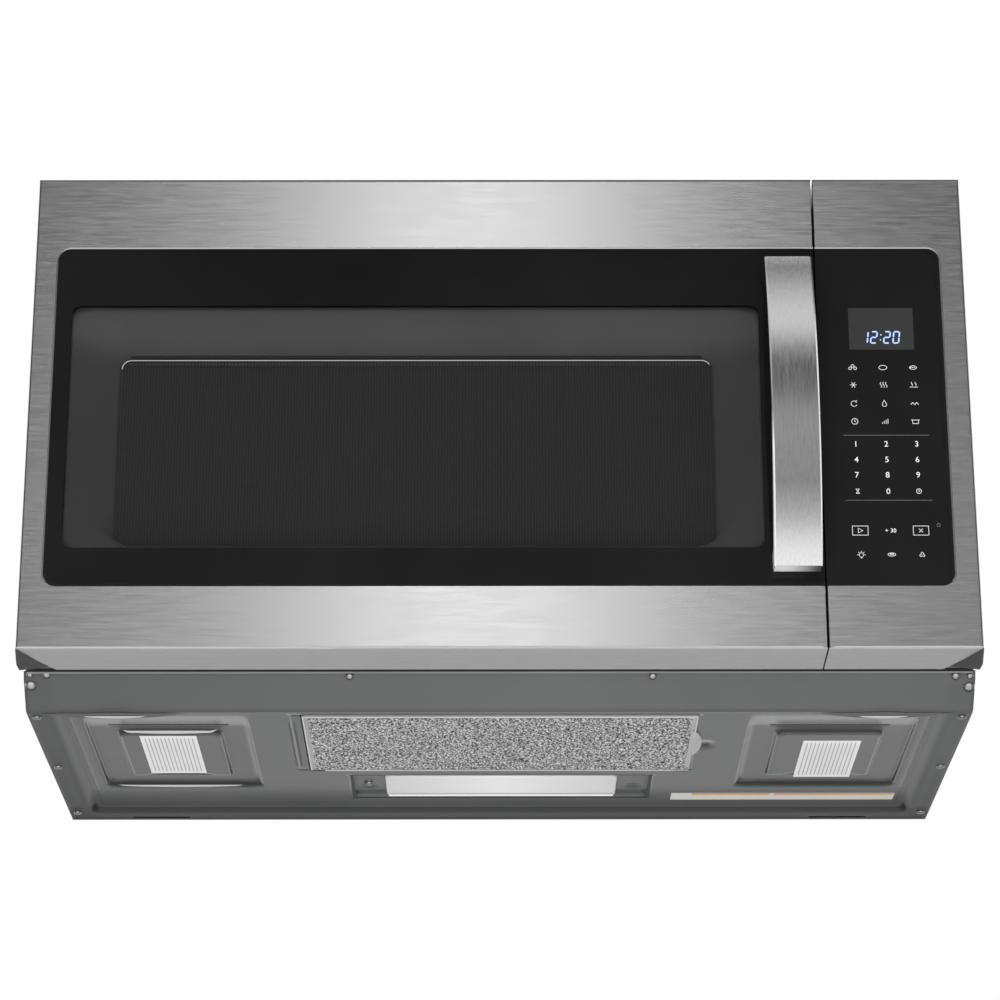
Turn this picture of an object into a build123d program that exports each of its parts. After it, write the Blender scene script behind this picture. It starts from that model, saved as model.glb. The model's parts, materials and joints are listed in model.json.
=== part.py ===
from build123d import *
import os
from math import atan2, hypot, tan

# Over-the-range microwave oven, in millimetres. X runs to the right as seen from the front,
# Y runs back towards the wall and Z up. The origin is the middle of the face that meets the wall.
# Heights on the front are measured down from the top edge, widths from the nearer end.
# OVER and PAST are how far a cutter runs beyond what it cuts, and HAIR keeps two lofts off one face.

# ------------------------------------------------------------------ overall sizes
WIDTH = 759.0
HEIGHT = 435.0
DEPTH = 398.0
UNDERSIDE_DROP = 28.0
PANEL_WIDTH = 122.0
DOOR_DEPTH = 48.0
DOOR_GAP = 1.5
SEAM_GAP = 1.2
END_BEVEL = 28.5
LIP_DROP = 2.0
FIT = 0.3
RUNNING = 0.05
OVER = 1.0
PAST = 20.0
HAIR = 0.01

TOP = HEIGHT / 2
BOTTOM = -HEIGHT / 2
FRONT = -DEPTH
SIDE = WIDTH / 2
SEAM = SIDE - PANEL_WIDTH
DOOR_SEAM = SEAM - SEAM_GAP / 2
PANEL_SEAM = SEAM + SEAM_GAP / 2
FACE_BOTTOM = BOTTOM + UNDERSIDE_DROP
DOOR_BACK = FRONT + DOOR_DEPTH
FRAME_FRONT = DOOR_BACK + DOOR_GAP

# ------------------------------------------------------------------ sheet thicknesses
SKIN_SHEET = 1.0
CASE_SHEET = 1.0
BASE_SHEET = 1.2
FRAME_SHEET = 1.2
CAVITY_SHEET = 1.0
DOOR_SHEET = 1.2

# ------------------------------------------------------------------ case and underside
CASE_INSET = 2.5
CORNER_CUT = 4.0
NOSE_FLAT = 4.0
SLOPE_RUN = 23.5
CASE_FLANGE = 12.0
CASE_FLANGE_SET = 3.0
REAR_PAN_DEPTH = 12.0
RECESS_DEPTH = 5.3
RECESS_SIDE_STRIP = 16.0
RECESS_FRONT_STRIP = 4.0
RECESS_REAR_STRIP = 23.0
RECESS_DRAFT = 4.5
RECESS_RADIUS = 9.0
POCKET_DEPTH = 3.5
POCKET_RADIUS = 12.0
POCKET_SIDE_DRAFT = 1.5
POCKET_END_DRAFT = 15.0
POCKET_FRONT = 124.0
POCKET_LENGTH = 190.0
POCKET_MARGIN = 24.0
LEFT_POCKET = (40.5, 135.0)
RIGHT_POCKET = (38.5, 138.0)
SIDE_SCREW = 1.5
SIDE_SCREW_LENGTH = 6.0
SIDE_SCREW_EDGE = 5.0
SIDE_SCREW_FRONT = 13.0
SIDE_SCREW_MIDDLE = 167.0
SIDE_SCREW_BACK = 25.0
PAN_HEAD = (3.6, 1.8)
SLOPE_SCREW_LENGTH = 8.0
SLOPE_SCREW_MIDDLE = 117.0
SLOPE_SCREW_EDGE = 26.0
SLOPE_SCREW = (3.3, 3.6, 1.8, 1.5)
SLOPE_END_EDGE = 12.0
SLOPE_END_SCREWS = ((3.8, 3.0, 1.4, 1.5), (11.75, 4.6, 2.6, 2.0))

# ------------------------------------------------------------------ glass, bands and window
TOP_BAND = 62.0
BOTTOM_BAND = 53.5
DOOR_END_BAND = 18.5
PANEL_END_BAND = 21.0
GLASS_RADIUS = 12.0
GLASS_THICK = 4.0
GLASS_RECESS = 0.6
EDGE_CURL = 0.8
CURL_DEPTH = 3.0
SKIN_FILLET = 2.0
FUNNEL_FRONT = (32.0, 46.0, 113.0, 84.0)
FUNNEL_BACK = (71.5, 84.0, 151.0, 94.0)
FUNNEL_RADIUS = 8.0
BEZEL_DEPTH = 21.4
BEZEL_WALL = 3.0
BEZEL_MARGIN = 9.0
BEZEL_END = 4.0
SCREEN_SHEET = 0.6
SCREEN_OVERLAP = 9.0
INNER_GLASS = 3.0

# ------------------------------------------------------------------ cavity
CAVITY_LEFT = 42.5
CAVITY_RIGHT = 67.0
CAVITY_TOP = 112.0
CAVITY_SILL = 55.0
CAVITY_BACK = 18.0
CAVITY_RADIUS = 8.0
CAVITY_FLANGE = 10.0
PORT_BACK = 100.0
PORT_DROP = 108.0
PORT_SIZE = (60.0, 36.0)
LAMP_GRID = (5, 4)
LAMP_GRID_PITCH = 7.0
LAMP_GRID_BACK = 74.0
LAMP_GRID_DROP = 40.5
LAMP_GRID_HOLE = 2.0
AIR_GRID = (8, 3)
AIR_GRID_PITCH = 9.0
AIR_GRID_FRONT = 91.5
AIR_GRID_DROP = 45.0
AIR_GRID_HOLE = 2.5
FRAME_RETURN = 6.0
WIRING_HOLE_X = (18.0, 80.0)
WIRING_HOLE_TOP = 135.0
WIRING_HOLE_FOOT = 42.0
WIRING_HOLE_RADIUS = 6.0
CHOKE_INNER = 12.0
CHOKE_OUTER = 12.0
CHOKE_COVER = 1.5

# ------------------------------------------------------------------ handle
HANDLE_WIDTH = 38.0
HANDLE_END = 3.0
HANDLE_SHIFT = 2.0
HANDLE_LENGTH = 267.5
HANDLE_STAND = 14.5
HANDLE_BOW = 24.0
HANDLE_THICK = 8.0
HANDLE_FOOT = 15.0
HANDLE_CHAMFER = 1.2
HANDLE_SCREW = 2.0
HANDLE_SCREW_HEAD = (4.2, 2.4)
HANDLE_SCREW_GRIP = 8.0
HANDLE_SCREW_ROOM = 0.5
HANDLE_HEAD_ROOM = 1.8

# ------------------------------------------------------------------ hinge and latch
HINGE_X = 22.5
HINGE_Y = 33.0
HINGE_PIN = 2.5
HINGE_BOSS = 5.0
HINGE_PLATE = 3.0
HINGE_DROP = 19.0
HINGE_RISE = 12.0
HINGE_PIN_LENGTH = 4.0
HINGE_REACH = 27.0
HINGE_TAB = 14.0
HINGE_TAB_SHEET = 2.0
HINGE_ARM_WIDTH = 18.0
HINGE_FOOT = (31.0, 12.0, 2.0)
HINGE_FOOT_SET = 2.0
HINGE_NECK = 4.0
HINGE_ROOM_X = 11.0
HINGE_ROOM_Y = 12.0
HINGE_ROOM_Z = 1.5
LATCH_X = 28.9
LATCH_THICK = 4.0
LATCH_DEPTH = 14.0
LATCH_LENGTH = 190.0
LATCH_TRAVEL = 4.0
HOOK_SPACING = 140.0
HOOK_HEIGHT = 15.0
HOOK_REACH = 14.0
HOOK_NOSE = 3.0
HOOK_NOSE_DEPTH = 5.0
HOOK_WINDOW_ROOM = 1.5
HOOK_SIDE_ROOM = 3.0
LATCH_MID = 225.0
LATCH_GUIDE = (4.0, 10.0)
LATCH_GUIDE_SPACING = 56.0
LATCH_SLOT_ROOM = 1.0
SPRING_LENGTH = 22.0
SPRING_RADIUS = 3.5
SPRING_WIRE = 1.0
SPRING_TURNS = 7
PLUNGER_RADIUS = 1.6
PLUNGER_LENGTH = 10.0
PLUNGER_TRAVEL = 1.5
SWITCH_SIZE = (12.0, 14.0, 7.0)
SWITCH_STAND = 3.2
SWITCH_SPACING = 8.0
SWITCH_PIN = (1.0, 5.0, 4.0)
SWITCH_PIN_PITCH = 3.5
SWITCH_BORE_PAST = 0.5
SWITCH_SHEET = 2.0
SWITCH_MARGIN = 6.0
SWITCH_PAST = 25.0

# ------------------------------------------------------------------ turntable
TRAY_RADIUS = 152.5
TRAY_FLAT = 120.0
TRAY_THICK = 4.0
TRAY_RISE = 12.0
TRAY_RIM = 5.0
TRAY_RIM_FOOT = 3.0
TRAY_SLOPE_SET = 2.0
ROLLER_RADIUS = 8.0
ROLLER_WIDTH = 6.0
ROLLER_CIRCLE = 104.0
RING_RADIUS = 90.0
RING_WIDTH = 8.0
RING_HEIGHT = 5.0
STUB_RADIUS = 2.4
STUB_CAP = 1.5
COUPLER_STEM = 4.0
COUPLER_HUB = 9.0
COUPLER_LIFT = 1.0
COUPLER_STEM_LENGTH = 13.0
COUPLER_ARM = (24.0, 8.0, 5.0)
FLOOR_HOLE = 11.5
MOTOR_RADIUS = 25.0
MOTOR_HEIGHT = 18.0
MOTOR_EARS = (10.0, 14.0, 2.0)

# ------------------------------------------------------------------ grease filter and lamp
FILTER_LEFT = -160.5
FILTER_WIDTH = 322.0
FILTER_FRONT = 102.0
FILTER_DEPTH = 157.0
FILTER_HEIGHT = 8.0
FILTER_RIM = 9.0
FILTER_SLIDE = 8.0
FILTER_EAR = (14.0, 4.0, 1.2)
FILTER_EAR_INSET = 24.0
FILTER_EAR_ROOM = 1.0
FILTER_RADIUS = 3.0
MESH_HEIGHT = 5.0
TAB_LENGTH = 72.0
TAB_REACH = 6.0
TAB_SHEET = 1.0
DIMPLE_RADIUS = 24.0
DIMPLE_DEPTH = 9.0
LAMP_LEFT = -127.5
LAMP_WIDTH = 258.0
LAMP_FRONT = 276.0
LAMP_DEPTH = 73.0
LAMP_SHEET = 1.2
LAMP_FLANGE = 6.0
LAMP_RECESS = 4.0
LAMP_SCREW = 1.6
LAMP_SCREW_HEAD = (4.0, 2.2)
LAMP_SCREW_GRIP = 4.0
LENS_LEFT = 29.0
LENS_WIDTH = 200.0
LENS_DEPTH = 60.0
LENS_HEIGHT = 7.0
LENS_CROWN = 2.5
LENS_BACK = 1.0
LENS_RADIUS = 6.0
LENS_EDGE = 2.0
LENS_LIP = 3.0
LENS_LIP_SHEET = 1.5
LENS_WALL = 2.0
LAMP_BOARD_INSET = (40.0, 8.0)
LAMP_POST = 1.2
LAMP_POST_INSET = 44.0
LAMP_POST_BACK = 1.5
LED_SIZE = (4.0, 2.5)
LED_INSET = 60.0

# ------------------------------------------------------------------ top of the case
GRILLE_LEFT = 24.0
GRILLE_RIGHT = 8.0
GRILLE_BACK_OF_FRAME = 15.0
GRILLE_DEPTH = 32.0
GRILLE_HEIGHT = 6.0
GRILLE_RIM = 4.0
GRILLE_PITCH = 12.0
GRILLE_BAR = 4.5
GRILLE_FLANGE = 2.0
CHARCOAL_HEIGHT = 24.0
CHARCOAL_END = 6.0
CHARCOAL_SIDE = 1.0
EXHAUST_WIDTH = 254.0
EXHAUST_DEPTH = 82.5
BOLT_SPACING = 440.0
BOLT_Y = 190.0
BOLT_HOLE = 3.4
NUT_PLATE = (36.0, 30.0, 3.0)
GLAND_X = 46.0
GLAND_Y = 60.0
GLAND_HOLE = 11.0
GLAND_BORE = 7.0
GLAND_DEPTH = 8.0
GLAND_COLLAR = (4.0, 3.0)
SLOT_SPACING = 600.0
SLOT_LENGTH = 50.0
SLOT_WIDTH = 5.5
SLOT_Y = 7.0

# ------------------------------------------------------------------ blower and cooling fan
BLOWER_Y = 77.0
BLOWER_RADIUS = 42.0
BLOWER_WIDTH = 74.0
BLOWER_BLADES = 22
BLOWER_ROOM = 4.0
BLOWER_WALL = 1.5
BLOWER_DISC = 2.0
BLOWER_HUB = (9.0, 12.0)
BLOWER_RING = 10.0
BLOWER_BLADE = (1.2, 0.5)
BLOWER_INLET = 30.0
WHEEL_GAP = 2.0
BLOWER_FOOT = 3.0
SCROLL_FOOT = (8.0, 40.0)
BLOWER_SHAFT = 4.0
BLOWER_MOTOR = 32.0
BLOWER_MOTOR_LENGTH = 62.0
BLOWER_MOTOR_GAP = 3.0
MOTOR_SADDLE = (37.0, 44.0)
OUTLET_DROP = 12.0
FAN_RADIUS = 55.0
FAN_HUB = 14.0
FAN_CHORD = 22.0
FAN_BLADE_SHEET = 1.6
FAN_BLADE_TILT = 28
FAN_BLADES = 5
FAN_SHAFT = 2.5
FAN_SHAFT_LENGTH = 24.0
FAN_WIDTH = 12.0
FAN_RING = 1.5
FAN_RING_SHEET = 2.0
FAN_PLATE_MARGIN = 17.0
FAN_FROM_WALL = 164.0
FAN_MOTOR_RADIUS = 22.0
FAN_MOTOR_LENGTH = 34.0
FAN_MOTOR_GAP = 6.0
FAN_ARM = (8.0, 2.0)
FAN_ARM_REACH = 10.0
FAN_ARM_FOOT = 4.0

# ------------------------------------------------------------------ microwave source and power parts
DUCT_MARGIN = (22.0, 20.0)
DUCT_DEPTH = 34.0
DUCT_SHEET = 1.2
DUCT_LIP = 8.0
DUCT_HOLE = 10.0
FEED_SHEET = 0.6
FEED_MARGIN = 12.0
YOKE_SIZE = (69.0, 88.0, 70.0)
YOKE_SHEET = 3.0
ANODE_RADIUS = 18.0
FINS = 5
FIN_START = 14.0
FIN_PITCH = 9.0
FIN_SHEET = 1.0
FIN_MARGIN = 2.0
FILTER_BOX = (26.0, 60.0, 50.0)
ANTENNA_RADIUS = 8.0
ANTENNA_LENGTH = 25.0
POWER_BACK = 24.0
CORE_LEFT = 16.0
CORE_SIZE = (90.0, 60.0, 74.0)
CORE_LIMB = 18.0
CORE_WINDOW = 18.0
CORE_FEET = (10.0, 6.0, 2.0)
WINDING_REACH = 7.0
CAPACITOR_LEFT = 123.0
CAPACITOR_SIZE = (34.0, 52.0, 82.0)
CAPACITOR_RADIUS = 16.0
TERMINAL = (6.0, 1.0, 8.0)
TERMINAL_SPACING = 14.0
LINE_BOARD_LEFT = 20.0
LINE_BOARD_TOP = 50.0
LINE_BOARD_SIZE = (100.0, 60.0)
LINE_BOARD_STAND = 9.0
LINE_POST = 3.0
LINE_POST_INSET = 8.0
LINE_COIL = (30.0, 14.0, 6.0, 12.0)
LINE_CAPACITOR = (55.0, 20.0, 16.0, 26.0)
LINE_FUSE = (90.0, 3.5, 26.0)
LINE_FUSE_CLIP = (4.0, 3.0)
LAMP_HOLDER = (30.0, 44.0, 40.0)
LAMP_HOLDER_BASE = 4.0
LAMP_HOLDER_WALL = 2.0
LAMP_BULB = (8.0, 18.0)

# ------------------------------------------------------------------ control panel
PANEL_MIDDLE = 52.0
DISPLAY_SIZE = (60.0, 46.0)
DISPLAY_TOP = 111.0
BACKING_FRONT = 2.5
BACKING_WALL = 2.0
BOARD_GAP = 11.0
BOARD = 1.6
BOARD_WIDTH = 74.0
BOARD_TOP = 60.0
BOARD_FOOT = 57.0
POST_SPACING = 66.0
POST_RADIUS = 3.0
POST_INSET = 10.0
POST_STEP = 90.0
BOARD_PARTS = (
    ((-18.0, 120.0), (30.0, 26.0, 22.0)), ((20.0, 130.0), (16.0, 22.0, 16.0)),
    ((20.0, 175.0), (16.0, 16.0, 14.0)), ((-20.0, 190.0), (14.0, 16.0, 14.0)),
    ((0.0, 240.0), (40.0, 10.0, 8.0)), ((-14.0, 290.0), (20.0, 12.0, 10.0)),
    ((18.0, 300.0), (12.0, 20.0, 10.0)),
)


# ================================================================== helpers
def block(x, y, z):
    """A box between two corners; each argument is a (low, high) pair."""
    centre = Pos((x[0] + x[1]) / 2, (y[0] + y[1]) / 2, (z[0] + z[1]) / 2)
    return centre * Box(x[1] - x[0], y[1] - y[0], z[1] - z[0])


def plate_y(x, z, y, radius):
    """A rounded rectangle standing in XZ and extruded along Y."""
    plane = Plane(origin=((x[0] + x[1]) / 2, y[0], (z[0] + z[1]) / 2), x_dir=(1, 0, 0), z_dir=(0, 1, 0))
    return extrude(plane * RectangleRounded(x[1] - x[0], z[1] - z[0], radius), amount=y[1] - y[0])


def plate_z(x, y, z, radius):
    """A rounded rectangle lying in XY and extruded along Z."""
    plane = Plane(origin=((x[0] + x[1]) / 2, (y[0] + y[1]) / 2, z[0]))
    return extrude(plane * RectangleRounded(x[1] - x[0], y[1] - y[0], radius), amount=z[1] - z[0])


def funnel_y(near, far, y, radius):
    """A loft along Y between two rounded rectangles, each given as ((x low, high), (z low, high))."""
    faces = []
    for (x, z), depth in ((near, y[0]), (far, y[1])):
        plane = Plane(origin=((x[0] + x[1]) / 2, depth, (z[0] + z[1]) / 2), x_dir=(1, 0, 0), z_dir=(0, 1, 0))
        faces.append(plane * RectangleRounded(x[1] - x[0], z[1] - z[0], radius))
    return loft(faces, ruled=True)


def funnel_z(near, far, z, radius):
    """A loft along Z between two rounded rectangles, each given as ((x low, high), (y low, high))."""
    faces = []
    for (x, y), height in ((near, z[0]), (far, z[1])):
        plane = Plane(origin=((x[0] + x[1]) / 2, (y[0] + y[1]) / 2, height))
        faces.append(plane * RectangleRounded(x[1] - x[0], y[1] - y[0], radius))
    return loft(faces, ruled=True)


def rod(start, direction, radius, length):
    """A round bar that starts at a point and runs along a direction."""
    return extrude(Plane(origin=start, z_dir=direction) * Circle(radius), amount=length)


def tube(start, direction, outer, inner, length):
    """A round tube that starts at a point and runs along a direction."""
    return rod(start, direction, outer, length) - rod(start, direction, inner, length)


def prism_z(points, z):
    """A polygon of (x, y) points extruded along Z."""
    return extrude(Plane.XY.offset(z[0]) * make_face(Polyline(*points, close=True)), amount=z[1] - z[0])


def prism_x(points, x):
    """A polygon of (y, z) points extruded along X."""
    plane = Plane(origin=(x[0], 0, 0), x_dir=(0, 1, 0), z_dir=(1, 0, 0))
    return extrude(plane * make_face(Polyline(*points, close=True)), amount=x[1] - x[0])


def grow(pair, amount):
    """The (low, high) pair moved out by an amount at both ends."""
    return (pair[0] - amount, pair[1] + amount)


def centred(centre, size):
    """The (low, high) pair of a size about its centre."""
    return (centre - size / 2, centre + size / 2)


def from_side(edge, width):
    """The (low, high) pair of a width that ends an edge's distance in from the right side."""
    return (SIDE - edge - width, SIDE - edge)


def mirror_pair(pair):
    """The (low, high) pair on the other side of the middle plane."""
    return (-pair[1], -pair[0])


def mirror_x(shape):
    """The same shape on the other side of the middle plane."""
    return mirror(shape, about=Plane.YZ)


def pan_screw(seat, direction, head_radius, head_height, shank_radius, shank_length):
    """A screw with a domed head; the seat is under its head and the direction points out of it."""
    outwards = Plane(origin=seat, z_dir=direction)
    dome = Pos(0, 0, head_height / 2) * Cylinder(head_radius, head_height)
    dome = fillet(dome.edges().filter_by(GeomType.CIRCLE).sort_by(Axis.Z)[-1], head_height * 0.7)
    cross = Pos(0, 0, head_height) * (Box(head_radius, 0.8, 1.0) + Box(0.8, head_radius, 1.0))
    shank = Pos(0, 0, -shank_length / 2) * Cylinder(shank_radius, shank_length)
    return outwards * (dome - cross + shank)


def grid(centre, counts, pitch):
    """The places of a rectangular pattern about its centre."""
    for column in range(counts[0]):
        for row in range(counts[1]):
            yield (centre[0] + (column - (counts[0] - 1) / 2) * pitch,
                   centre[1] + (row - (counts[1] - 1) / 2) * pitch)


def save(name, *pieces):
    """Write one node; separate pieces stay separate solids."""
    solids = [solid for piece in pieces for solid in piece.solids()]
    export_step(Compound(children=solids), f"parts/{name}.step")


# ================================================================== outer case
CASE_HALF = SIDE - CASE_INSET
CASE_FRONT = FRAME_FRONT + CORNER_CUT
NOSE = FACE_BOTTOM - LIP_DROP
SLOPE_START = FRAME_FRONT + NOSE_FLAT
BEND = SLOPE_START + SLOPE_RUN
INNER_HALF = CASE_HALF - CASE_SHEET
SIDE_SCREW_X = CASE_HALF - SIDE_SCREW_EDGE
INNER_TOP = TOP - CASE_SHEET
BASE_TOP = BOTTOM + BASE_SHEET

GRILLE_X = (-SIDE + GRILLE_LEFT, DOOR_SEAM - GRILLE_RIGHT)
GRILLE_Y = (FRAME_FRONT + GRILLE_BACK_OF_FRAME, FRAME_FRONT + GRILLE_BACK_OF_FRAME + GRILLE_DEPTH)
EXHAUST_X = centred(0, EXHAUST_WIDTH)
EXHAUST_Y = centred(-BLOWER_Y, EXHAUST_DEPTH)
GLAND = (SIDE - GLAND_X, -GLAND_Y)


def under_line(lift):
    """The underside seen from the side, from the front frame to the wall, raised by lift."""
    return [(FRAME_FRONT, NOSE + lift), (SLOPE_START, NOSE + lift), (BEND, BOTTOM + lift), (0, BOTTOM + lift)]


def hook_slots(z):
    """The two long round-ended slots that the wall bracket's hooks enter."""
    slots = []
    for x in (-SLOT_SPACING / 2, SLOT_SPACING / 2):
        plane = Plane(origin=(x, -SLOT_Y, z[0]))
        slots.append(extrude(plane * SlotOverall(SLOT_LENGTH, SLOT_WIDTH), amount=z[1] - z[0]))
    return slots


def outer_case():
    """The wrap: top and both sides in one bent sheet, with a short flange under each side."""
    wrap = prism_x(under_line(BASE_SHEET) + [(0, TOP), (FRAME_FRONT, TOP)], (-CASE_HALF, CASE_HALF))
    wrap -= block((-INNER_HALF, INNER_HALF), (FRONT, PAST), (BOTTOM - PAST, INNER_TOP))
    wrap -= block((-SIDE, SIDE), (FRONT, CASE_FRONT), (BOTTOM - PAST, TOP + PAST))
    flange_y = (BEND + CASE_FLANGE_SET, -REAR_PAN_DEPTH - FIT)
    flange = block((INNER_HALF - CASE_FLANGE, INNER_HALF), flange_y, (BASE_TOP, BASE_TOP + CASE_SHEET))
    wrap += flange
    wrap += mirror_x(flange)
    wrap -= block(GRILLE_X, GRILLE_Y, (INNER_TOP - OVER, TOP + OVER))
    wrap -= block(EXHAUST_X, EXHAUST_Y, (INNER_TOP - OVER, TOP + OVER))
    for x in centred(0, BOLT_SPACING):
        wrap -= rod((x, -BOLT_Y, INNER_TOP - OVER), (0, 0, 1), BOLT_HOLE, CASE_SHEET + 2 * OVER)
    wrap -= rod((*GLAND, INNER_TOP - OVER), (0, 0, 1), GLAND_HOLE, CASE_SHEET + 2 * OVER)
    for hole in screw_holes():
        wrap -= hole
    return wrap


def rear_panel():
    """A shallow pan that closes the back and carries the wall face."""
    z = (BASE_TOP, INNER_TOP)
    pan = block((-INNER_HALF, INNER_HALF), (-REAR_PAN_DEPTH, 0), z)
    pan -= block(grow((-INNER_HALF, INNER_HALF), -CASE_SHEET), (-REAR_PAN_DEPTH - OVER, -CASE_SHEET),
                 grow(z, -CASE_SHEET))
    for slot in hook_slots((BOTTOM - OVER, BASE_TOP + CASE_SHEET + OVER)):
        pan -= slot
    return pan


# ================================================================== underside
RECESS_Z = BOTTOM + RECESS_DEPTH
RECESS_X = (-CASE_HALF + RECESS_SIDE_STRIP, CASE_HALF - RECESS_SIDE_STRIP)
RECESS_Y = (BEND + RECESS_FRONT_STRIP, -RECESS_REAR_STRIP)
FLOOR_UNDER = RECESS_Z + BASE_SHEET
POCKET_Y = (FRONT + POCKET_FRONT, FRONT + POCKET_FRONT + POCKET_LENGTH)
POCKETS_X = (mirror_pair(from_side(*LEFT_POCKET)), from_side(*RIGHT_POCKET))
FILTER_X = (FILTER_LEFT, FILTER_LEFT + FILTER_WIDTH)
FILTER_Y = (FRONT + FILTER_FRONT, FRONT + FILTER_FRONT + FILTER_DEPTH)
FILTER_Z = (RECESS_Z - FIT, RECESS_Z - FIT + FILTER_HEIGHT)
FILTER_HOLE_X = (FILTER_X[0] - FILTER_SLIDE - 2 * FIT, FILTER_X[1] + FIT)
FILTER_HOLE_Y = grow(FILTER_Y, FIT)
TAB_Y = (FILTER_Y[0] + FILTER_Y[1]) / 2
LAMP_X = (LAMP_LEFT, LAMP_LEFT + LAMP_WIDTH)
LAMP_Y = (FRONT + LAMP_FRONT, FRONT + LAMP_FRONT + LAMP_DEPTH)


def press(sheet, x, y, z, depth, drafts, radius):
    """Push an area of a lying sheet up by depth (down when negative), with leaning walls."""
    near = (x, y)
    far = (grow(x, -drafts[0]), grow(y, -drafts[1]))
    wide_near = (grow(x, BASE_SHEET), grow(y, BASE_SHEET))
    wide_far = (grow(far[0], BASE_SHEET), grow(far[1], BASE_SHEET))
    if depth > 0:
        sheet += funnel_z(wide_near, wide_far, (z, z + depth + BASE_SHEET), radius + BASE_SHEET)
        return sheet - funnel_z(near, far, (z - HAIR, z + depth), radius)
    sheet += funnel_z(far, near, (z + depth, z + BASE_SHEET), radius)
    thin_near = (grow(x, -BASE_SHEET), grow(y, -BASE_SHEET))
    thin_far = (grow(far[0], -BASE_SHEET), grow(far[1], -BASE_SHEET))
    hollow_z = (z + depth + BASE_SHEET, z + BASE_SHEET + HAIR)
    return sheet - funnel_z(thin_far, thin_near, hollow_z, radius - BASE_SHEET)


def ear_places():
    """The middles of the four ears that hang the grease filter on the sheet."""
    for x in grow(FILTER_X, -FILTER_EAR_INSET):
        for y, outwards in zip(FILTER_Y, (-1, 1)):
            yield x, y, outwards


def base_plate():
    """The painted underside: nose, slope, pressed floor, pockets and the filter and lamp holes."""
    profile = under_line(0) + under_line(BASE_SHEET)[::-1]
    sheet = prism_x(profile, (-CASE_HALF, CASE_HALF))
    drafts = (RECESS_DRAFT, RECESS_DRAFT)
    sheet = press(sheet, RECESS_X, RECESS_Y, BOTTOM, RECESS_DEPTH, drafts, RECESS_RADIUS)
    drafts = (POCKET_SIDE_DRAFT, POCKET_END_DRAFT)
    for x in POCKETS_X:
        sheet = press(sheet, x, POCKET_Y, RECESS_Z, POCKET_DEPTH, drafts, POCKET_RADIUS)
        platform_y = (POCKET_Y[0] + POCKET_MARGIN, POCKET_Y[1] - POCKET_MARGIN)
        sheet = press(sheet, grow(x, -POCKET_MARGIN), platform_y, RECESS_Z + POCKET_DEPTH, -POCKET_DEPTH,
                      drafts, POCKET_RADIUS)
    corner = [(CASE_HALF + OVER, FRAME_FRONT - OVER), (CASE_HALF + OVER, CASE_FRONT + OVER),
              (CASE_HALF - CORNER_CUT - OVER, FRAME_FRONT - OVER)]
    cut = prism_z(corner, (BOTTOM - OVER, TOP))
    sheet -= cut
    sheet -= mirror_x(cut)
    hole_z = (BOTTOM - OVER, FLOOR_UNDER + POCKET_DEPTH + OVER)
    sheet -= block(FILTER_HOLE_X, FILTER_HOLE_Y, hole_z)
    ball = (DIMPLE_RADIUS**2 + DIMPLE_DEPTH**2) / (2 * DIMPLE_DEPTH)
    middle = Pos(FILTER_HOLE_X[1], TAB_Y, RECESS_Z + DIMPLE_DEPTH - ball)
    beside = block((FILTER_HOLE_X[1], FILTER_HOLE_X[1] + 2 * ball), centred(TAB_Y, 4 * ball), (RECESS_Z, TOP))
    sheet += (middle * Sphere(ball + BASE_SHEET)) & beside
    sheet -= middle * Sphere(ball)
    for x, y, outwards in ear_places():
        notch_x = centred(x - FILTER_SLIDE, FILTER_EAR[0] + FILTER_EAR_ROOM)
        sheet -= block(notch_x, centred(y, 2 * (FILTER_EAR[1] + FILTER_EAR_ROOM)), hole_z)
    sheet -= block(LAMP_X, LAMP_Y, hole_z)
    for cutter in screw_holes() + hook_slots((BOTTOM - OVER, BASE_TOP + OVER)):
        sheet -= cutter
    return sheet


def grease_filter():
    """The aluminium frame with its hanging ears and pull tab, and the mesh pack inside it."""
    inside = (grow(FILTER_X, -FILTER_RIM), grow(FILTER_Y, -FILTER_RIM))
    frame = plate_z(FILTER_X, FILTER_Y, FILTER_Z, FILTER_RADIUS) - block(*inside, grow(FILTER_Z, OVER))
    tab_plane = Plane(origin=(FILTER_X[1] - FILTER_RIM / 2, TAB_Y, FILTER_Z[0] - TAB_SHEET))
    tab = extrude(tab_plane * Ellipse(TAB_REACH + FILTER_RIM / 2, TAB_LENGTH / 2), amount=TAB_SHEET)
    outer_half = block((tab_plane.origin.X, FILTER_X[1] + PAST), FILTER_Y, (BOTTOM, TOP))
    frame += tab & outer_half
    length, reach, thick = FILTER_EAR
    for x, y, outwards in ear_places():
        ear_y = sorted((y - outwards, y + outwards * reach))
        frame += block(centred(x, length), ear_y, (FLOOR_UNDER + FIT, FLOOR_UNDER + FIT + thick))
    mesh = block(*inside, centred((FILTER_Z[0] + FILTER_Z[1]) / 2, MESH_HEIGHT))
    return frame, mesh


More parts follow.
